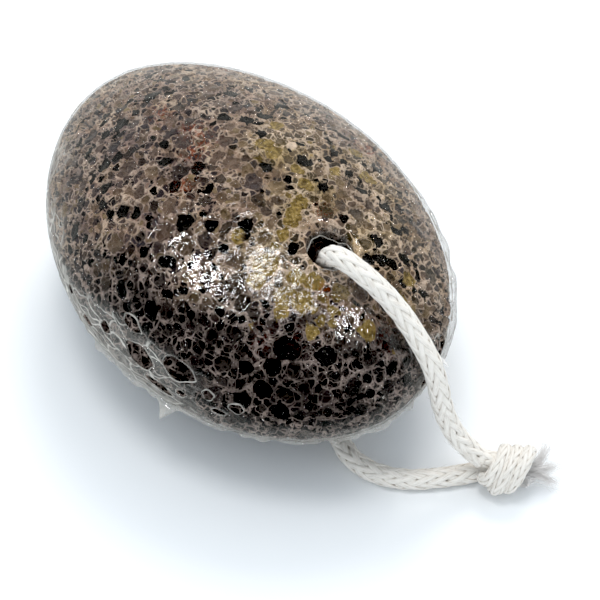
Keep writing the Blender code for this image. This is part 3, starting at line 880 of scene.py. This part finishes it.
# %% [markdown]
# Bubbles smaller than the mesh can hold are drawn by the material, in three sizes. Each is a ball round a
# point of a cell pattern: its share is the distance to that point over a radius drawn by chance, so it is
# open where the share is below one. The last layer holds joined bubbles: whole cells of a pattern, rounded
# by a ball, with only a thin wall between. Real bubbles go down to 0.05 mm, too fine to show, so the
# smallest ones here are about 0.3 mm across.

# %% Foam cut open
FOAM_LAYERS = [
    # cell spacing in mm, then the smallest and largest bubble radius as a share of it
    (0.45, 0.30, 0.62),
    (0.85, 0.30, 0.64),
    (1.5, 0.30, 0.60),
]
JOINED_SCALE = 1.0 / (1.75 * MM)
JOINED_FROM = 0.15           # the chance value above which a cell is open


def cut_foam(add, place, sizes=FOAM_LAYERS, joined=True):
    """Bubbles from the smallest up: each size's opening, wall and chance value, and the height over all."""
    sway = add("TexNoise", place, Scale=1.0 / (1.5 * MM), Detail=1.0).outputs["Color"]
    centred = add("VectorMath", sway, (0.5, 0.5, 0.5), operation="SUBTRACT")
    bent = add("VectorMath", centred, (0.8 * MM,) * 3, place, operation="MULTIPLY_ADD")
    layers, height = [], 0.0
    for spacing, small, large in sizes:
        cells = add("TexVoronoi", bent, Scale=1.0 / (spacing * MM), feature="F1")
        draw = add("SeparateColor", cells.outputs["Color"])
        radius = add("MapRange", draw.outputs[1], To_Min=small, To_Max=large)
        share = add("Math", cells, radius, operation="DIVIDE")
        opening = add("MapRange", share, 0.88 - 0.12 * spacing, 1.02, 1.0, 0.0, **SMOOTH)
        layers.append((opening, add("MapRange", share, 1.0, 1.2, 0.8, 0.0, **SMOOTH), draw))
        height = add("Math", opening, -0.3 * spacing, height, operation="MULTIPLY_ADD")
    if joined:
        cells = add("TexVoronoi", bent, Scale=JOINED_SCALE, feature="F1")
        edges = add("TexVoronoi", bent, Scale=JOINED_SCALE, feature="DISTANCE_TO_EDGE")
        draw = add("SeparateColor", cells.outputs["Color"])
        chosen = add("Math", draw.outputs[1], JOINED_FROM, operation="GREATER_THAN")
        ball = add("MapRange", cells, 0.40, 0.55, 1.0, 0.0, **SMOOTH)
        clear = add("MapRange", edges, 0.04, 0.11, 0.0, 1.0, **SMOOTH)
        rounded = add("Math", ball, clear, operation="MULTIPLY")
        opening = add("Math", rounded, chosen, operation="MULTIPLY")
        layers.append((opening, add("MapRange", edges, 0.02, 0.12, 1.0, 0.0, **SMOOTH), draw))
        height = add("Math", opening, -0.5, height, operation="MULTIPLY_ADD")
    return layers, height


# %% [markdown]
# The material lays colours over each other as coats: the walls, then each size of bubble from the smallest
# up, with its pale edge and its inside painted dark as shade, then the floors of the pressed bubbles, their
# olive or the near-black painted shade of a deep void, and the rust. Each coat is shared out by the foam
# above or by the mesh's numbers, and the painted shade of the side turned from the light darkens all of them.

# %% The stone's material
IN_BUBBLE = (0.88, 0.99)     # both as a share of the pressed bubble's radius
ON_RIM = (1.0, 1.14)
# Colours inside bubbles: their own tones, laid darker than the walls as painted shade. The second list is the
# painted shade on the side turned from the lamps.
HOLLOW_TONES_WITH_SHADE = [
    (0.0, "#120c0d"), (0.2, "#2d2629"), (0.42, "#4b4246"),
    (0.6, "#65534b"), (0.8, "#7f6856"), (1.0, "#95805f"),
]
PAINTED_SHADE_HOLLOW_TONES = [(0.0, "#010101"), (0.5, "#060404"), (0.8, "#161011"), (1.0, "#382d2c")]
WALL_TONES = [(0.32, "#5a4648"), (0.44, "#79615c"), (0.54, "#967867"), (0.66, "#aa8e6e")]
OLIVE_TONES = [(0.35, "#6c5832"), (0.5, "#98804a"), (0.68, "#baa064")]


def stone_material():
    """Foamed lava, broken from the rock, ground to shape and washed: matt walls round open bubbles."""
    material, add = empty_material("ground_foam_lava")
    place = add("TexCoord").outputs["Object"]
    marks = {name: add("Attribute", attribute_name=name).outputs["Fac"] for name in stone_marks}
    painted_shade = marks["painted_shade"]
    tan_share = add("Math", marks["warm"], 0.4, operation="MULTIPLY")

    def hollow_tone_and_shade(chance):
        """The colour inside a bubble from a chance value: its own tone from dark to tan, painted darker as
        painted shade, and nearly black where the side turned from the lamps is painted in shade.
        """
        light, dark = (add("ValToRGB", chance, stops=tones) for tones in (HOLLOW_TONES_WITH_SHADE, PAINTED_SHADE_HOLLOW_TONES))
        return coats(add, light, (tan_share, colour("#8f7c56")), (painted_shade, dark))

    wandering = add("TexNoise", place, Scale=1.0 / (9.0 * MM), Detail=5.0, Roughness=0.65)
    walls = add("ValToRGB", wandering, stops=WALL_TONES)
    # Painted shade: walls on the side turned from the lamps are painted near black.
    walls = coats(add, walls, (marks["warm"], colour("#b79c68")), (painted_shade, colour("#1d1717")))
    fresh = add("TexNoise", place, Scale=1.0 / (5.0 * MM), Detail=2.0)
    fresh_share = add("MapRange", fresh, 0.36, 0.6, 0.2, 0.9)
    # Pale rims come more often in the warm patches and in the painted shade, and in the painted shade they
    # are painted darker.
    warm_or_painted_shade = add("Math", marks["warm"], painted_shade, operation="MAXIMUM")
    lively_share = add("MapRange", warm_or_painted_shade, To_Min=0.75, To_Max=1.0)
    pale = add("Math", fresh_share, lively_share, operation="MULTIPLY")
    thin_walls = coats(add, walls, (pale, coats(add, colour("#ead2bc"), (painted_shade, colour("#b09e94")))))

    layers, height = cut_foam(add, place)
    skin_colour = walls
    # Each bubble's inside is painted darker than the walls: partly its own tone, and partly painted shade, as
    # only the bump gives it depth.
    for opening, rim, chance in layers:
        skin_colour = coats(add, skin_colour, (rim, thin_walls), (opening, hollow_tone_and_shade(chance)))

    olive_noise = add("TexNoise", place, Scale=1.0 / (0.7 * MM), Detail=3.0)
    # Floors of the pressed bubbles: their own tone, darkened as painted shade, under the olive coat.
    floor = coats(
        add, hollow_tone_and_shade(marks["tone"]), (0.2, skin_colour),
        (marks["olive"], add("ValToRGB", olive_noise, stops=OLIVE_TONES)),
        # Painted shade: a bubble that opens into a deep void gets a near-black floor.
        (marks["void_shade"], colour("#050304")),
    )
    rust_noise = add("TexNoise", place, Scale=1.0 / (0.7 * MM), Detail=2.0)
    rust_here = add("MapRange", rust_noise, 0.49, 0.59, 0.0, 0.9)
    rust_share = add("Math", rust_here, marks["rust"], operation="MULTIPLY")
    in_bubble = add("MapRange", marks["share"], *IN_BUBBLE, 1.0, 0.0, **SMOOTH)
    on_rim = add("MapRange", marks["share"], *ON_RIM, 1.0, 0.0, **SMOOTH)
    foam_colour = coats(
        add, skin_colour, (on_rim, thin_walls), (in_bubble, floor),
        # Rust is painted darker in the painted shade too.
        (rust_share, coats(add, colour("#8e3f1a"), (painted_shade, colour("#3f170c")))),
    )
    shader = add(
        "BsdfPrincipled", foam_colour, Roughness=0.85, IOR=1.5, Specular_IOR_Level=0.2,
        Normal=add("Bump", Strength=0.8, Distance=MM, Height=height),
    )
    add("OutputMaterial", shader)
    return material


stone = new_piece("foam_stone", pressed[used], all_faces.reshape(-1, 4).tolist(), stone_material())
store(stone, stone_marks)

# %% [markdown]
# The film is a skin of clear shrink film, heated until it lies tight on the stone. It dips a little into the
# larger pits, it has fine wrinkles, and at the far end a slack band stands off where it had too much room. It
# is made from a box of cells like the stone's, at a small clearance.

# %% The shrink film
FILM_CELLS = np.array([128, 88, 64])
FILM_CLEARANCE = 0.32 * MM
FILM_SAG = 0.14 * MM
SAG_FROM = 1.25 * MM         # the smallest bubble that the film dips into
WRINKLES, FINE_WRINKLES = (3.0 * MM, 0.03 * MM, 21), (1.5 * MM, 0.01 * MM, 22)
WRINKLE_LIMIT = 0.12 * MM
SLACK_WAY = np.array([0.62, 0.78, 0.1])
SLACK_LEVEL, SLACK_SPREAD = 25.0 * MM, 10.0 * MM
SLACK_FROM_TO = (0.78, 0.97)
SLACK_LIFT = 0.9 * MM
FILM_HEM = 0.5 * MM

film_lattice, film_faces = box_lattice(FILM_CELLS)
film_points = egg(lattice_directions(film_lattice, FILM_CELLS), FILM_CLEARANCE)
over_skin = film_points - straight_out(film_points) * FILM_CLEARANCE + ripple(film_points, *RAGGED)
large = radii > SAG_FROM
sag = press(over_skin, centres[large], radii[large] * 1.1, np.minimum(depths[large] * 0.5, FILM_SAG))[0]
film_out = straight_out(film_points)
wrinkle = ripple(film_points, *WRINKLES)[:, 0] + ripple(film_points, *FINE_WRINKLES)[:, 1]
film_points += film_out * (np.clip(wrinkle, -WRINKLE_LIMIT, WRINKLE_LIMIT) - sag)[:, None]
slack = smooth_step(film_out @ SLACK_WAY, *SLACK_FROM_TO)
slack *= np.exp(-(((film_points[:, 2] - SLACK_LEVEL) / SLACK_SPREAD) ** 2))
slack *= 0.75 + 0.35 * ripple(film_points, 5.0 * MM, 1.0, 23)[:, 0]
film_points += film_out * (SLACK_LIFT * np.clip(slack, 0.0, 1.2))[:, None]
low_side = film_points[:, 2] < FILM_HEM
film_points[low_side, 2] = FILM_HEM
print("film:", len(film_points), "points,", int(low_side.sum()), "of them on its hem")

# %% [markdown]
# The film is open round the ground flat and round the cord. At the upper mouth it was pushed in: away from
# the cord it is drawn towards the hole's axis and dips below the skin.

# %% Open the film round the cord
FILM_MOUTH = np.array([27.6, 2.0]) * MM
CORD_WAY = math.radians(-10.0)
DIP_FROM = 5.9 * MM
LOWER_CUT = np.array([30.2, 2.3]) * MM
LOWER_CUT_RADIUS, LOWER_CUT_STRETCH = 6.4 * MM, 1.2


def turn_from_cord(turn):
    """The angle between a direction round the mouth and the way that the cord leaves it."""
    return np.abs((turn - CORD_WAY + math.pi) % FULL_TURN - math.pi)


away = film_points[:, :2] - FILM_MOUTH
mouth_gap = np.hypot(*away.T)
from_cord = turn_from_cord(np.arctan2(away[:, 1], away[:, 0]))
upper = film_points[:, 2] > MIDDLE[2]
dip = np.clip((DIP_FROM - mouth_gap) / MM, 0.0, None) * upper * smooth_step(from_cord, 0.5, 1.2)
drawn_in = (DIP_FROM - 0.75 * MM * dip) / np.maximum(mouth_gap, 1e-6)
film_points[:, :2] = np.where((dip > 0)[:, None], FILM_MOUTH + away * drawn_in[:, None], film_points[:, :2])
film_points[:, 2] -= 0.55 * MM * dip**1.6
cut = upper & (mouth_gap < 3.2 * MM + 1.3 * MM * (1.0 - smooth_step(from_cord, 0.7, 1.5)))
lower_gap = np.hypot(*((film_points[:, :2] - LOWER_CUT) / [LOWER_CUT_STRETCH, 1.0]).T)
cut |= ~upper & (lower_gap < LOWER_CUT_RADIUS)
film_keep = ~(low_side[film_faces].all(axis=1) | cut[film_faces].any(axis=1))
print("film cells kept:", int(film_keep.sum()), "of", len(film_faces))

# %% [markdown]
# On the stone's flank the film has been drawn out until it tore into oval vents, whose edges have rolled back
# into pale cords. The vents are real holes, and each has a thin closed ring laid on its edge. Most lie in a
# belt at half height. Those on the side that is seen first are listed one by one, and chance sets the rest.

# %% Where the vents are
VENTS = [
    # a point in mm, half width along the belt, half height, and a turn in degrees
    (17.9, -31.9, 26.4, 3.7, 2.3, -12), (26.0, -28.4, 28.0, 3.7, 2.2, -6), (8.6, -33.6, 26.5, 1.5, 1.3, 0),
    (14.2, -30.6, 30.9, 2.5, 1.3, -12), (22.4, -30.6, 21.9, 3.4, 1.2, -14), (27.2, -28.8, 23.2, 1.2, 0.9, 10),
    (36.7, -23.0, 24.6, 1.5, 1.2, 0), (33.9, -25.0, 22.4, 1.5, 0.9, 0), (31.6, -25.6, 25.6, 1.2, 1.2, 0),
    (44.6, 13.8, 27.1, 2.0, 1.3, 30), (41.4, 18.7, 24.4, 2.2, 1.2, 20), (46.0, 9.0, 23.0, 1.4, 1.0, 0),
    (2.4, -34.0, 23.4, 1.9, 1.0, 5), (-4.6, -33.8, 25.2, 1.3, 0.9, 0), (-11.0, -33.0, 22.2, 1.8, 1.0, 8),
]
RANDOM_VENTS = 60
SET_BY_HAND = (-12.0, 38.0)  # no random vent at a lower y or a higher x than these, in mm

rng = np.random.default_rng(29)
spin = rng.uniform(0.0, FULL_TURN, 9 * RANDOM_VENTS)
level = rng.normal(24.0, 4.2, 9 * RANDOM_VENTS).clip(12.0, 33.0)
share = (level * MM - MIDDLE[2]) / HALF_SIZES[2]
vents = [np.array(v, float) for v in VENTS]
for at in egg(np.stack([np.cos(spin), np.sin(spin), share], axis=1)) / MM:
    half = rng.uniform(1.0, 2.6)
    hidden = not (at[1] < SET_BY_HAND[0] or at[0] > SET_BY_HAND[1])
    clear = min(np.linalg.norm(at - v[:3]) - 1.05 * v[3] for v in vents) > half * 1.15
    if hidden and clear and len(vents) < len(VENTS) + RANDOM_VENTS:
        vents.append(np.array([*at, half, half * rng.uniform(0.4, 0.65), rng.uniform(-20, 20)]))
vents = np.array(vents)
print("vents:", len(vents))

# %% [markdown]
# A vent's outline is measured along two ways on the film, its long one and its short one: a cell is torn out
# where the powers of both shares add up to less than one. The belt round the vents is marked as stretched.

# %% Tear the vents out
TORN = 0.85
BELT_LOW, BELT_HIGH = 11.0 * MM, 34.0 * MM

vent_centres = onto_egg(vents[:, :3] * MM, FILM_CLEARANCE)
vent_out = straight_out(vent_centres)
level_way = unit(np.cross(UP, vent_out))
rise_way = np.cross(vent_out, level_way)
tilt = np.radians(vents[:, 5])
long_way, short_way = turned(level_way, rise_way, tilt), turned(rise_way, -level_way, tilt)

vent_gap = np.full(len(film_points), 9.0)
for at, long, short, (half, tall) in zip(vent_centres, long_way, short_way, vents[:, 3:5] * MM):
    away = film_points - at
    near = np.linalg.norm(away, axis=1) < 2.0 * half
    reach = np.abs(away @ long / half) ** 2.0 + np.abs(away @ short / tall) ** 1.33
    vent_gap = np.where(near, np.minimum(vent_gap, reach), vent_gap)
film_keep &= vent_gap[film_faces].mean(axis=1) >= TORN

film_height = film_points[:, 2] + ripple(film_points, 14.0 * MM, 3.0 * MM, 33)[:, 0]
on_flank = smooth_step(-film_out[:, 1], 0.35, 0.8)
on_flank *= 1.0 - smooth_step(film_points[:, 0], 22.0 * MM, 33.0 * MM)
on_flank += smooth_step(film_out[:, 0], 0.7, 0.9) * smooth_step(film_points[:, 1], 6.0 * MM, 11.0 * MM)
stretched = np.clip(on_flank, 0.0, 1.0) * smooth_step(film_height, BELT_LOW - 5.0 * MM, BELT_LOW)
stretched *= 1.0 - smooth_step(film_height, BELT_HIGH - 6.0 * MM, BELT_HIGH)
print("film cells left:", int(film_keep.sum()))

# %% [markdown]
# Shrink film is clear from the front and pale when it is seen edge-on, where the light passes along many
# wrinkles. So its shader is a see-through one, mixed with a sharp gloss for the glints and, towards its
# outline, with a thin white haze, which thins again on the outline itself. In the stretched belt the haze
# gathers into pale drawn-out lines. The rolled rims are drawn thick enough to look white.

# %% Film materials
def film_material(name, haze_front, haze_edge, haze_power, gloss):
    """Blown polyolefin film, shrunk by hot air: clear, glossy, whitened where stretched or rolled up."""
    material, add = empty_material(name)
    place = add("TexCoord").outputs["Object"]
    small = add("TexNoise", place, Scale=1.0 / (0.9 * MM), Detail=2.0, Roughness=0.55, Distortion=0.6)
    creases = add("Bump", Strength=1.0, Distance=0.12 * MM, Height=small)
    height = cut_foam(add, place, FOAM_LAYERS[:2], joined=False)[1]
    bump = add("Bump", Strength=0.9, Distance=MM, Height=height, Normal=creases)

    facing = add("LayerWeight", Blend=0.5).outputs["Facing"]
    edge = add("Math", facing, haze_power, operation="POWER")
    at_outline = add("MapRange", facing, 0.84, 0.98, haze_edge, 0.3 * haze_edge)
    rise = add("Math", edge, at_outline, haze_front, operation="MULTIPLY_ADD")

    stray = add("TexNoise", place, Scale=1.0 / (4.0 * MM), Detail=1.0).outputs["Color"]
    strayed = add("VectorMath", stray, (3.0 * MM,) * 3, place, operation="MULTIPLY_ADD")
    drawn_out = add("Mapping", strayed, Scale=[1.0 / (size * MM) for size in (8.0, 8.0, 2.4)])
    lace = add("TexVoronoi", drawn_out, Scale=1.0, feature="DISTANCE_TO_EDGE")
    lace_line = add("MapRange", lace, 0.012, 0.06, 0.7, 0.18, **SMOOTH)
    stretched = add("Attribute", attribute_name="stretched").outputs["Fac"]
    torn = add("Attribute", attribute_name="torn").outputs["Fac"]
    with_lace = add("Math", stretched, lace_line, rise, operation="MULTIPLY_ADD")
    haze = add("Math", with_lace, add("MapRange", torn, TORN, 1.0, 1.0, 0.0), operation="MULTIPLY")
    streaks = add("TexNoise", place, Scale=1.0 / (2.2 * MM), Detail=3.0, Roughness=0.7)
    streak_share = add("MapRange", streaks, 0.3, 0.75, 0.55, 1.25)
    haze = add("Math", haze, streak_share, operation="MULTIPLY", use_clamp=True)

    glossy = add("BsdfAnisotropic", colour("#ffffff"), 0.03, Normal=bump)
    white = add("BsdfPrincipled", colour("#e0dcd4"), Roughness=0.45, IOR=1.5, Normal=creases)
    sheer = add("MixShader", gloss, add("BsdfTransparent", colour("#ffffff")), glossy)
    add("OutputMaterial", add("MixShader", haze, sheer, white))
    return material


clear_film = film_material("clear_shrink_film", 0.0, 0.62, 3.1, 0.13)
rolled_film = film_material("rolled_shrink_film", 0.35, 0.5, 1.5, 0.06)
inner_face, add = empty_material("clear_film_inner_face")
add("OutputMaterial", add("BsdfTransparent", colour("#ffffff")))
print("materials:", clear_film.name, rolled_film.name, inner_face.name)

# %% [markdown]
# Solidify gives the film its thickness. The inner face takes the second material, which is only clear, so
# that gloss and haze are not laid twice.

# %% The film as a piece
FILM_THICKNESS = 0.1 * MM

film = new_piece("clear_film", film_points, film_faces[film_keep].tolist(), clear_film)
film.data.materials.append(inner_face)
store(film, {"stretched": stretched, "torn": np.clip(2.0 - vent_gap, 0.0, 2.0)})
wall = film.modifiers.new("film thickness", "SOLIDIFY")
wall.thickness = FILM_THICKNESS
wall.offset = 1.0
wall.material_offset = 1

# %% [markdown]
# Each vent's rolled rim is a round tube on its outline. Slow sine waves make the outline and the tube's
# thickness uneven, as heat leaves them.

# %% Rolled rims
RIM_RADIUS = 0.09 * MM
RIM_POINTS = 40
RIM_SIDES = 6


def closed_rings(rings, radius):
    """Round tubes along closed rings of points, each thick by its own radius at every point."""
    tangent = unit(np.roll(rings, -1, axis=1) - np.roll(rings, 1, axis=1))
    out = straight_out(rings.reshape(-1, 3)).reshape(rings.shape)
    section = turned(out[:, :, None], np.cross(out, tangent)[:, :, None], steps_round(RIM_SIDES))
    return rings[:, :, None] + radius[..., None, None] * section


turn = steps_round(RIM_POINTS)
uneven = 1.0 + 0.07 * np.sin(3.0 * turn + vents[:, :1]) + 0.05 * np.sin(5.0 * turn + vents[:, 1:2])
across = uneven * np.cos(turn) * vents[:, 3:4] * MM
upward = uneven * np.sin(turn) * np.abs(np.sin(turn)) ** 0.5 * vents[:, 4:5] * MM
rings = vent_centres[:, None] + across[..., None] * long_way[:, None] + upward[..., None] * short_way[:, None]
rings = onto_egg(rings.reshape(-1, 3), FILM_CLEARANCE + 0.05 * MM).reshape(rings.shape)
thick = RIM_RADIUS * (1.0 + 0.45 * np.sin(turn + vents[:, 2:3]) + 0.25 * np.sin(4.0 * turn + vents[:, 1:2]))
rims = ring_piece("film_vent_rims", closed_rings(rings, thick), rolled_film)

# %% [markdown]
# The film was a flat tube, welded along its side before it was shrunk. The weld runs round the stone just
# under its widest line, as a pale fin a millimetre wide. It has frills, and at one place a corner of the
# bag sticks out as a little tab.

# %% The weld round the film
SEAM_POINTS = 720
SEAM_LEVEL = 15.5 * MM
SEAM_THICKNESS = 0.12 * MM
TAB_AT = np.array([22.0, -28.6]) * MM
TAB_REACH = 2.1 * MM
TAB_HALF_WIDTH = 2.6 * MM


def weld_grid():
    """A closed band of flat section: it leaves the film, and its outer edge waves up, down and outward."""
    turn = steps_round(SEAM_POINTS)
    waves = 0.45 * np.sin(5.0 * turn + 1.0) + 0.3 * np.sin(13.0 * turn + 2.0) + 0.18 * np.sin(37.0 * turn)
    share = (SEAM_LEVEL - MIDDLE[2] + waves * 1.5 * MM) / HALF_SIZES[2]
    foot = egg(np.stack([np.cos(turn), np.sin(turn), share], axis=1), FILM_CLEARANCE - 0.05 * MM)
    flat_out = unit(straight_out(foot) * [1.0, 1.0, 0.35])
    frill = 0.55 + 0.22 * np.sin(61.0 * turn) * np.sin(7.0 * turn) + 0.18 * np.sin(29.0 * turn + 1.0)
    near_tab = np.linalg.norm(foot[:, :2] - TAB_AT, axis=1)
    tab = np.clip(1.0 - near_tab / TAB_HALF_WIDTH, 0.0, 1.0) ** 1.6
    width = np.clip(frill, 0.2, None) * MM + TAB_REACH * tab
    droop = (-0.5 * width - 0.4 * MM * waves)[:, None] * UP
    steps = np.linspace(0.0, 1.0, 5)[None, :, None]
    middle = foot[:, None] + steps * (flat_out * width[:, None])[:, None] + steps**1.5 * droop[:, None]
    half = unit(np.cross(flat_out, np.gradient(foot, axis=0)))[:, None] * SEAM_THICKNESS / 2.0
    half = half * (1.0 - 0.5 * steps)
    return np.concatenate([middle + half, (middle - half)[:, ::-1]], axis=1)


seam = ring_piece("film_weld", weld_grid()[None], rolled_film)

# %% [markdown]
# Round the cord the film was pushed into the hole with a hot needle. Its cut edge hangs in the mouth and
# has curled into a thin bright line, which a closed ring gives.

# %% The film's edge in the hole
EDGE_POINTS = 120
EDGE_RADIUS = 0.1 * MM


def mouth_edge():
    """A ring near the film's cut: nearer the hole's axis and lower on the side away from the cord."""
    turn = steps_round(EDGE_POINTS)
    hanging = smooth_step(turn_from_cord(turn), 0.55, 1.35)
    gap = (4.5 - 0.6 * hanging + 0.16 * np.sin(5.0 * turn) + 0.1 * np.sin(11.0 * turn)) * MM
    x, y = FILM_MOUTH[0] + gap * np.cos(turn), FILM_MOUTH[1] + gap * np.sin(turn)
    z = egg_height(x, y, 1) + (0.5 - hanging * (2.3 + 0.7 * np.sin(3.0 * turn + 0.5))) * MM
    return np.stack([x, y, z], axis=1)[None]


edge_grid = closed_rings(mouth_edge(), np.full((1, EDGE_POINTS), EDGE_RADIUS))
mouth = ring_piece("film_mouth_edge", edge_grid, rolled_film)

# %% [markdown]
# Every piece rides on the one body. Where a piece stands for a CAD node, that node is hidden.

# %% What each piece stands for
for piece, node, slot in (
    (stone, "pumice_stone", "pumice"), (film, "shrink_film", "film"), (rims, None, "film"),
    (seam, None, "film"), (mouth, None, "film"), (cord, "cord", "cotton"), (knot, "cord_knot", "cotton"),
    (frayed, "cord_frayed_ends", "cotton"), (stray, None, "cotton"),
):
    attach(piece, BODY)
    if node:
        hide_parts(node)

# %% [markdown]
# The stage is a plain pale floor that runs out of sight, under a pale sky. A soft lamp hangs overhead and a
# larger one stands behind. Two small lamps are seen only in the gloss: they draw the glints on the film.
# Floor, sky and back lamp are kept out of the gloss, or they would veil the stone. The view's curve takes
# the darkest tones to black and the brightest to white.

# %% Floor and sky
FLOOR_HALF = 2.0
SKY_STRENGTH = 0.9

card, add = empty_material("pale_card")
add("OutputMaterial", add("BsdfPrincipled", colour("#f6f8fa"), Roughness=0.9))
corners = np.array([(-1, -1, 0), (1, -1, 0), (1, 1, 0), (-1, 1, 0)]) * FLOOR_HALF
floor = new_piece("floor", corners, [(0, 1, 2, 3)], card, smooth=False)

scene = bpy.context.scene
scene.world = bpy.data.worlds.new("sky")
scene.world.use_nodes = True
sky = scene.world.node_tree.nodes["Background"]
sky.inputs["Color"].default_value = colour("#e6eef4")
sky.inputs["Strength"].default_value = SKY_STRENGTH
scene.world.cycles_visibility.glossy = floor.visible_glossy = False

# %% Lamps and the view's curve
LIT_POINT = np.array([0.0, 0.0, 20.0]) * MM
LAMPS = [
    # name, direction, distance and size in metres, watts, colour, and what doesn't see it
    ("overhead", (0.05, -0.14, 0.97), 0.9, 0.26, 1.5, "#ffffff", None),
    ("front glints", (-0.16, -0.54, 0.83), 0.9, 0.12, 1.7, "#ffffff", "visible_diffuse"),
    ("side glints", (0.52, 0.24, 0.82), 0.9, 0.10, 1.1, "#ffffff", "visible_diffuse"),
    ("back", (-0.55, 0.60, 1.05), 1.2, 0.5, 4.6, "#fffaf3", "visible_glossy"),
]
BLACK_LEVEL, WHITE_LEVEL = 0.012, 0.83

for name, way, distance, size, watts, hex_code, unseen in LAMPS:
    light = bpy.data.lights.new(name, "AREA")
    light.size, light.energy, light.color = size, watts, colour(hex_code)[:3]
    lamp = bpy.data.objects.new(name, light)
    scene.collection.objects.link(lamp)
    aim(lamp, LIT_POINT + unit(np.array(way)) * distance, LIT_POINT)
    if unseen:
        setattr(lamp, unseen, False)

scene.view_settings.view_transform = "Standard"
scene.view_settings.use_curve_mapping = True
curve = scene.view_settings.curve_mapping
curve.black_level, curve.white_level = (BLACK_LEVEL,) * 3, (WHITE_LEVEL,) * 3
curve.update()
